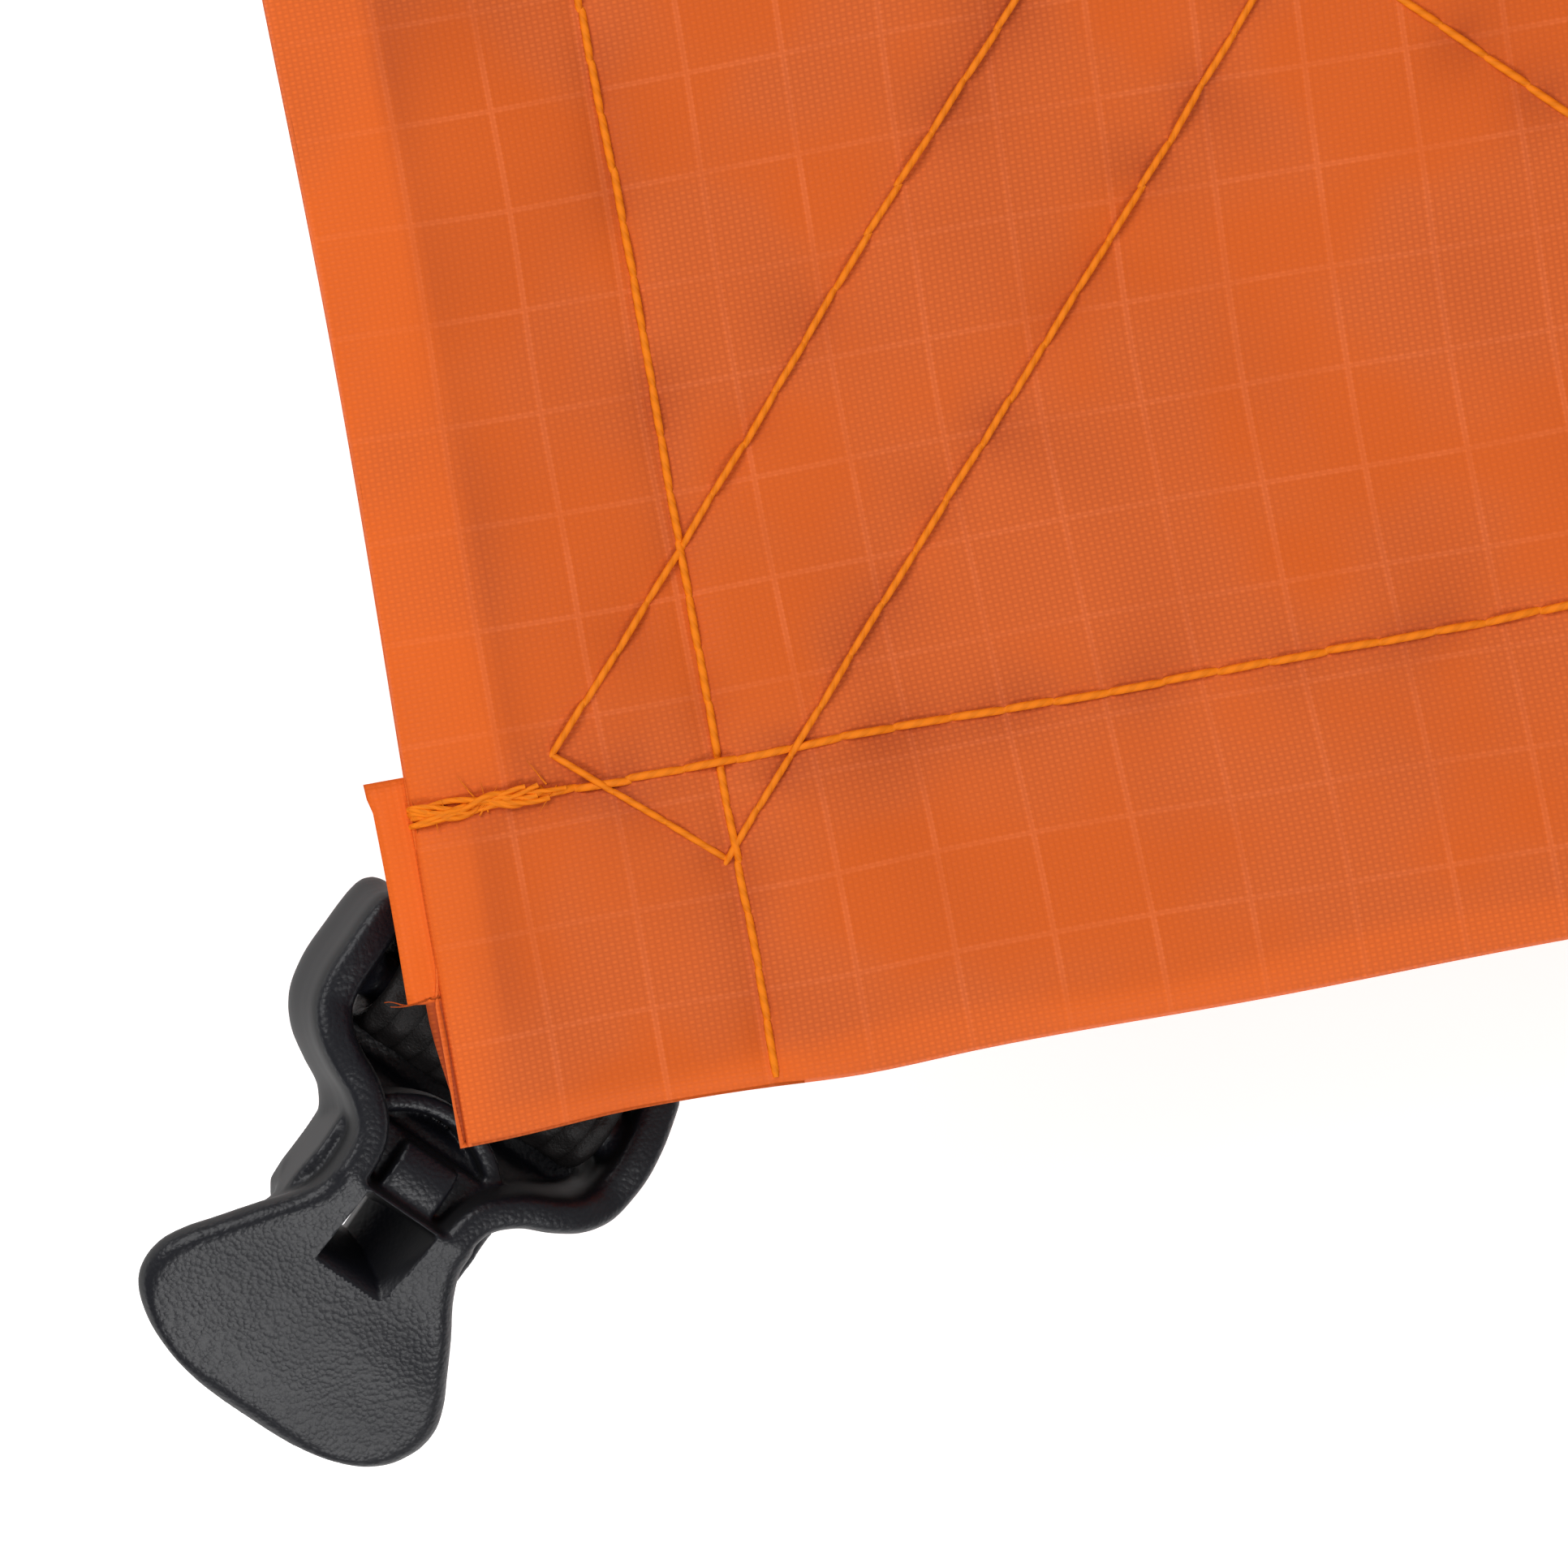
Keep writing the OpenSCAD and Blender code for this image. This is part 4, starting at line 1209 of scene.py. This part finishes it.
def adjuster_solids():
    """The other moulded shapes as closed runs of rings: neck, floor, bridge, blade, sewing bar and curved bar."""
    foot = -2.5
    u = np.linspace(5.5, 12.3, 30)
    half = np.interp(u, [5.5, 6.4, 8.2, 10.2, 11.3, 12.3], [5.4, 5.0, 4.95, 5.05, 5.0, 4.2])
    neck = rounded_run(u, half, 0 * u + foot, np.minimum(frame_top(u) - 1.9, 1.9))
    u = np.linspace(2.3, 6.6, 24)
    half = np.interp(u, [2.3, 2.95, 4.2, 5.3, 6.2, 6.6], [8.8, 8.6, 8.0, 6.6, 5.2, 5.0])
    floor = rounded_run(u, half, 0 * u + foot, -1.8 + 2.1 * smooth((u - 3.3) / 1.7), 0.2)
    u = np.linspace(5.75, 8.65, 18)
    top = frame_top(u) - 0.75 - 0.2 * ((u - 7.2) / 1.4) ** 2
    bridge = rounded_run(u, 0 * u + 1.62, 0 * u - 0.4, top, 0.22)
    y = np.linspace(-8.6, 8.6, 60)[:, None]
    a = circle(28)[None]
    r = 1.2 + 1.1 * smooth((np.abs(y) - 7.25) / 1.3)
    sewing_bar = points(r * np.cos(a), y, r * np.sin(a))
    a = np.linspace(-0.86, 0.86, 44)[:, None]
    ring = box_ring((-0.46, -1.0), (0.46, 1.0), 0.22)
    r = 5.05 + ring[None, :, 0]
    curved_bar = points(8.65 - r * np.cos(a), r * np.sin(a), 0.5 + ring[None, :, 1])
    return [neck, floor, bridge, paddle_blade(), sewing_bar, curved_bar]


def hole_cutter():
    """The cord hole: a square funnel that narrows and turns aside below, its far wall slanting most."""
    ring = box_ring((-1, -1), (1, 1), 0.12, 4)[None]
    z = np.array([5.0, 3.2, 1.2, -0.6, -1.6, -5.0])[:, None]
    near = np.array([8.85, 8.85, 8.95, 9.1, 9.3, 9.3])[:, None]
    far = np.array([13.7, 13.6, 12.4, 11.5, 11.2, 11.2])[:, None]
    half = np.array([2.18, 2.15, 1.85, 1.3, 0.9, 0.9])[:, None]
    drift = np.array([0, 0, -0.25, -0.8, -1.3, -1.3])[:, None]
    return points((near + far) / 2 + (far - near) / 2 * ring[..., 0], drift + half * ring[..., 1], z)


def fused_adjuster(s):
    """The left adjuster as one mesh: its shapes are fused and softened, and the cord hole is cut."""

    def closed(name, shapes):
        raw = Shape()
        for p in shapes:
            raw.grid(tie_frame(s, bar_frame(s, p)), around=True, caps=True)
        return raw.make(name, outward=True)

    body = closed("adjuster_raw", [adjuster_wall(9.0, 1), adjuster_wall(9.55, -1), *adjuster_solids()])
    cutter = closed("hole_raw", [hole_cutter()])
    fuse = body.modifiers.new("fuse", "REMESH")
    fuse.mode = "VOXEL"
    fuse.voxel_size = 0.17 * MM
    soften = body.modifiers.new("soften", "SMOOTH")
    soften.iterations = 5
    cut = body.modifiers.new("cut", "BOOLEAN")
    cut.object = cutter
    cut.operation = "DIFFERENCE"
    cut.solver = "EXACT"
    apply_modifiers(body)
    bpy.data.objects.remove(cutter)
    face_outwards(body.data, join=1e-6)
    return body


def rows(mesh, what):
    """A mesh's point places (co) or directions (normal) as rows of three."""
    flat = np.empty(len(mesh.vertices) * 3)
    mesh.vertices.foreach_get(what, flat)
    return flat.reshape(-1, 3)


class SACK_OT_adjusters(bpy.types.Operator):
    """Makes the two moulded cord adjusters, fused and softened as one moulding"""

    bl_idname = "sack.adjusters"
    bl_label = "Cord adjusters"

    def execute(self, context):
        s = sizes()
        body = fused_adjuster(s)
        ends = tie_frame(s, bar_frame(s, np.array([[0.0, 0.0, 1.0], [0.0, 0.0, 0.0]])))
        for side, name in ((-1, "left"), (1, "right")):
            mesh = body.data.copy()
            if side > 0:
                mesh.vertices.foreach_set("co", (rows(mesh, "co") * np.array([-1, 1, 1])).ravel())
                mesh.flip_normals()
            mesh.name = f"adjuster_{name}_moulding"
            obj = add_smooth(mesh.name, mesh)
            up = (ends[0] - ends[1]) * np.array([-side, 1, 1])
            # Mask of the faces turned up: the moulded graining, and the painted highlight on them.
            attribute(obj, "grain_and_highlight", smooth((rows(mesh, "normal") @ up - 0.25) / 0.4))
            settle(obj, material("plastic"), f"{name}_adjuster", [f"adjuster_{name}"])
        bpy.data.objects.remove(body)
        return {"FINISHED"}


class SACK_OT_buckle(bpy.types.Operator):
    """Makes the buckle halves from their frame shapes, with every moulded edge rounded"""

    bl_idname = "sack.buckle"
    bl_label = "Buckle"

    def execute(self, context):
        for body in ("socket", "plug"):
            node = f"buckle_{body}"
            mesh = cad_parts[node].data.copy()
            mesh.name = f"{node}_moulding"
            face_outwards(mesh, join=2e-6, flatten=math.radians(4))
            obj = add_smooth(mesh.name, mesh)
            bevel = obj.modifiers.new("rounded", "BEVEL")
            bevel.width = 0.42 * MM
            bevel.segments = 3
            bevel.limit_method = "ANGLE"
            bevel.angle_limit = math.radians(32)
            bevel.use_clamp_overlap = True
            bevel.harden_normals = True
            settle(obj, material("buckle"), body, [node])
        return {"FINISHED"}


# ---- Stitching ----


def stitches(s, path, up, seed, thick=None, pitch=None, proud=0.16):
    """Separate stitches along a path.

    Each is a short tube that leaves its needle hole, runs nearly straight and dives again.
    path gives points along the line and up the side that the thread lies on; both are arrays of points.
    """
    thick = thick or s.thread_d
    pitch = pitch or s.stitch_pitch
    rng = np.random.default_rng(seed)
    run = run_along(path)
    n = max(2, round(run[-1] / pitch))
    marks = np.linspace(0, run[-1], n + 1)
    marks[1:-1] += rng.normal(0, 0.09, n - 1)
    at, lift = read_off(marks, run, path), read_off(marks, run, up)
    d = unit(at[1:] - at[:-1])
    side = unit(np.cross((lift[:-1] + lift[1:]) / 2, d))
    nrm = np.cross(d, side)
    t = np.array([-0.05, 0.05, 0.2, 0.5, 0.8, 0.95, 1.05])
    rise = np.array([-0.6, 0.15, 0.75, 1.0, 0.75, 0.15, -0.6])[None, :, None] * proud
    fat = np.array([0.7, 0.92, 1.0, 1.0, 1.0, 0.92, 0.7])[None, :, None, None] * thick / 2
    slip = rng.normal(0, 0.02, (n, 1)) + np.linspace(-1, 1, 7)[None] * rng.normal(0, 0.045, (n, 1))
    centre = at[:-1, None] + (at[1:] - at[:-1])[:, None] * t[None, :, None]
    centre = centre + nrm[:, None] * rise + side[:, None] * slip[..., None]
    a = circle(7)[None, None, :, None]
    p = centre[:, :, None] + fat * (np.cos(a) * side[:, None, None] + 0.85 * np.sin(a) * nrm[:, None, None])
    return p, np.stack(np.broadcast_arrays(np.arange(8)[None] / 7, (t * pitch)[:, None]), -1)


def along(corners, n):
    """n even steps along straight runs between corners."""
    q = np.array(corners, float)
    run = run_along(q)
    return read_off(np.linspace(0, run[-1], n), run, q)


def on_cloth(s, xy, face, raise_by=0.0, wander=0.0, seed=0):
    """Points on the front (face 1) or the back cloth along a line of x and y, and the way up there."""
    x, y = xy[:, 0], xy[:, 1]
    if wander:
        w = wander * ripple(np.arange(len(x)) * 1.0, 0 * x, seed, 40, 4)
        d = unit(np.gradient(xy, axis=0))
        x, y = x - d[:, 1] * w, y + d[:, 0] * w
    dx, dy = edge_shift(s, x, y)
    height = front_z if face > 0 else back_z
    e = 0.4
    slope_x = (height(s, x + e, y) - height(s, x - e, y)) / (2 * e)
    slope_y = (height(s, x, y + e) - height(s, x, y - e)) / (2 * e)
    up = unit(points(-slope_x * 0.5, -slope_y * 0.5, 1.0) * face)
    return points(x + dx, y + dy, height(s, x, y) + face * (0.05 + raise_by)), up


def back_tack(s, side):
    """The bottom line's locked end at one side: a bundle of wandering strands, and short hairs standing off it.

    Gives each one's path, its radius and its number of sides.
    """
    for n in range(11):
        rng = np.random.default_rng(430 + n)
        t = np.linspace(0, 1, 60)
        x = -0.35 + 0.5 * rng.random() + t * (7.9 - 2.2 * rng.random())
        drift = 0.3 * np.sin(t * rng.uniform(5, 11) + n) + rng.uniform(-0.42, 0.42) + 0.25 * smooth((x - 5) / 3)
        path, up = on_cloth(s, np.stack([side * (s.half_w - x), s.bottom_stitch - 0.1 + drift], -1), 1)
        path = path + up * (0.14 + 0.13 * np.sin(t * rng.uniform(7, 15)) + 0.05 * (n % 3))[:, None]
        path[:, 2] -= 0.9 * smooth((0.3 - x) / 0.6)
        yield path, 0.115 + 0.045 * rng.random(), 7
    for n in range(8):
        rng = np.random.default_rng(450 + n + side)
        t = np.linspace(0, 1, 16)
        x = rng.uniform(0.5, 7.8) + t * rng.uniform(-1.2, 1.2)
        y = s.bottom_stitch + rng.uniform(-0.5, 0.5) + t * rng.choice([-1.1, 1.4]) * rng.uniform(0.5, 1.2)
        path, up = on_cloth(s, np.stack([side * (s.half_w - x), y], -1), 1)
        yield path + up * (0.12 + 0.5 * t * (1 - t))[:, None], 0.05 * (1.1 - t), 5


class SACK_OT_stitching(bpy.types.Operator):
    """Sews every seam with separate stitches, on the face and on the underside"""

    bl_idname = "sack.stitching"
    bl_label = "Stitching"

    def execute(self, context):
        s = sizes()
        sets = {k: Shape() for k in ("side", "bottom", "corner", "tie", "mouth", "buckle")}

        def sew(key, ends, seed, face, n=None, raise_by=0.0, **more):
            """Sews along the cloth."""
            n = n or max(24, int(np.linalg.norm(np.subtract(ends[-1], ends[0])) * 1.5))
            path, up = on_cloth(s, along(ends, n), face, raise_by, 0.12, seed)
            sets[key].strands(*stitches(s, path, up, seed, **more))

        def sew_level(key, ends, seed, face, n, z, **more):
            """Sews along webbing, at one height."""
            xy = along(ends, n)
            up = np.tile([0.0, 0.0, float(face)], (n, 1))
            sets[key].strands(*stitches(s, points(xy[:, 0], xy[:, 1], z), up, seed, thick=0.36, **more))

        seams = stitch_lines(s)
        under_web = s.seam_h + s.web_top - 2 * s.web_t - 0.08
        for side in (-1, 1):
            side_seam, _, ear_seam, box_a, box_b = (
                [(side * (s.half_w - x), y) for x, y in line[:2]] for line in seams[:5]
            )
            for face in (1, -1):
                seed = 200 + 10 * side + face
                sew("side", side_seam, seed, face)
                sew("corner", ear_seam, seed + 1, face, raise_by=0.0 if face > 0 else 0.75)
            seed = 300 + side * 20
            for n, ends in enumerate((box_a, box_b, *zip(box_a, box_b))):
                sew("tie", ends, seed + n, 1, raise_by=0.06, pitch=3.1, thick=0.36)
                sew_level("tie", ends, seed + 9 + n, -1, 60, under_web, proud=0.05, pitch=3.1)
            for path, radius, sides in back_tack(s, side):
                rings = tube(path, radius, sides)
                sets["bottom"].grid(rings, tube_places(path, sides), around=True, caps=True)
        for face in (1, -1):
            reach = s.half_w - 0.3
            sew("bottom", [(-reach, s.bottom_stitch), (reach, s.bottom_stitch)], 500 + face, face, n=500)
            sew("mouth", [(-115, s.band_y + 1.3), (115, s.band_y + 1.3)], 510 + face, face, n=300)
        mid_y = s.sack_l - 5 - s.web_w / 2
        for side in (-1, 1):
            x0, x1 = side * (s.half_w - 12.8), side * (s.half_w - 2.0)
            a, b, c, d = (x0, mid_y - 5), (x1, mid_y - 5), (x1, mid_y + 5), (x0, mid_y + 5)
            for n, ends in enumerate(((a, b), (b, c), (c, d), (d, a), (a, c), (d, b))):
                for face in (1, -1):
                    z = s.mouth_h + face * (1.35 + s.web_t + 0.05)
                    sew_level("buckle", ends, 600 + n, face, 40, z, proud=0.06, pitch=2.4)
        for key, shape in sets.items():
            obj = shape.make(f"{key}_stitches")
            settle(obj, material("thread"), SACK, [f"{key}_stitching"])
        return {"FINISHED"}


# ---- Stage ----


class SACK_OT_stage(bpy.types.Operator):
    """Sets the floor, the soft lights and the camera straight above the bottom corner"""

    bl_idname = "sack.stage"
    bl_label = "Stage"

    def execute(self, context):
        scene = context.scene
        mesh = bpy.data.meshes.new("floor")
        half, below = 3.0, -0.0004
        corners = ((-half, -half), (half, -half), (half, half), (-half, half))
        mesh.from_pydata([(x, y, below) for x, y in corners], [], [(0, 1, 2, 3)])
        floor = add_object("floor", mesh)
        g = Graph("pale_floor")
        mottled = g.noise(g.object_place(), 6.0)
        base = g.mix(mottled, tint("floor"), tuple(c * 0.985 for c in tint("floor")))
        g.shader.inputs["Emission Color"].default_value = (1, 1, 1, 1)
        mesh.materials.append(g.finish(base, 0.9, Specular_IOR_Level=0.1, Emission_Strength=0.45))
        floor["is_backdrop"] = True
        scene.world = bpy.data.worlds.new("soft_room")
        scene.world.use_nodes = True
        background = scene.world.node_tree.nodes["Background"]
        background.inputs[0].default_value = (1, 1, 1, 1)
        background.inputs[1].default_value = 0.4
        scene.view_settings.view_transform = "Standard"
        corner = np.array([-0.12, -0.2, 0.03])
        for name, at, size, watts in (
            ("key_softbox", (-0.9, 0.8, 1.5), 1.2, 23.2),
            ("fill_softbox", (-0.02, -1.28, 1.1), 0.6, 10),
        ):
            light = bpy.data.lights.new(name, "AREA")
            light.shape = "SQUARE"
            light.size = size
            light.energy = watts
            lamp = add_object(name, light)
            lamp.location = at
            lamp.rotation_euler = look(corner - np.array(at))
        lens = bpy.data.cameras.new("camera")
        field, distance = 77.3, 1500
        lens.sensor_width = 36
        lens.lens = lens.sensor_width * distance / field
        lens.clip_start = 0.01
        scene.camera = add_object("camera", lens)
        scene.camera.location = (-0.1214, -0.2052, (sizes().seam_h + distance) * MM)
        scene.camera.rotation_euler = (0, 0, math.radians(-10.4))
        return {"FINISHED"}


def look(aim):
    """Turn that points an object's -Z along aim."""
    return Vector(aim).to_track_quat("-Z", "Y").to_euler()


class SACK_PT_sidebar(bpy.types.Panel):
    """Lists the sack's operators with its sizes and colours"""

    bl_idname = "SACK_PT_sidebar"
    bl_label = "Stuff Sack"
    bl_space_type = "VIEW_3D"
    bl_region_type = "UI"
    bl_category = "Stuff Sack"

    def draw(self, context):
        for operator in OPERATORS:
            self.layout.operator(operator.bl_idname)
        for group in (context.scene.sack_sizes, context.scene.sack_colours):
            column = self.layout.column()
            for key in type(group).__annotations__:
                column.prop(group, key)


OPERATORS = (
    SACK_OT_stage,
    SACK_OT_panels,
    SACK_OT_hems,
    SACK_OT_patches,
    SACK_OT_mouth,
    SACK_OT_webbing,
    SACK_OT_adjusters,
    SACK_OT_buckle,
    SACK_OT_stitching,
)
CLASSES = (SackSizes, SackColours, *OPERATORS, SACK_PT_sidebar)


def register():
    """Adds the classes and the scene's two groups of settings."""
    for c in CLASSES:
        bpy.utils.register_class(c)
    bpy.types.Scene.sack_sizes = bpy.props.PointerProperty(type=SackSizes)
    bpy.types.Scene.sack_colours = bpy.props.PointerProperty(type=SackColours)


def unregister():
    """Takes them away again."""
    del bpy.types.Scene.sack_colours
    del bpy.types.Scene.sack_sizes
    for c in reversed(CLASSES):
        bpy.utils.unregister_class(c)


def main():
    """Makes everything."""
    register()
    cad_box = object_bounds()
    for operator in OPERATORS:
        getattr(bpy.ops.sack, operator.bl_idname.split(".")[1])()
    boxes = [[[float(v) for v in corner] for corner in box] for box in (cad_box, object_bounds())]


if __name__ == "__main__":
    main()
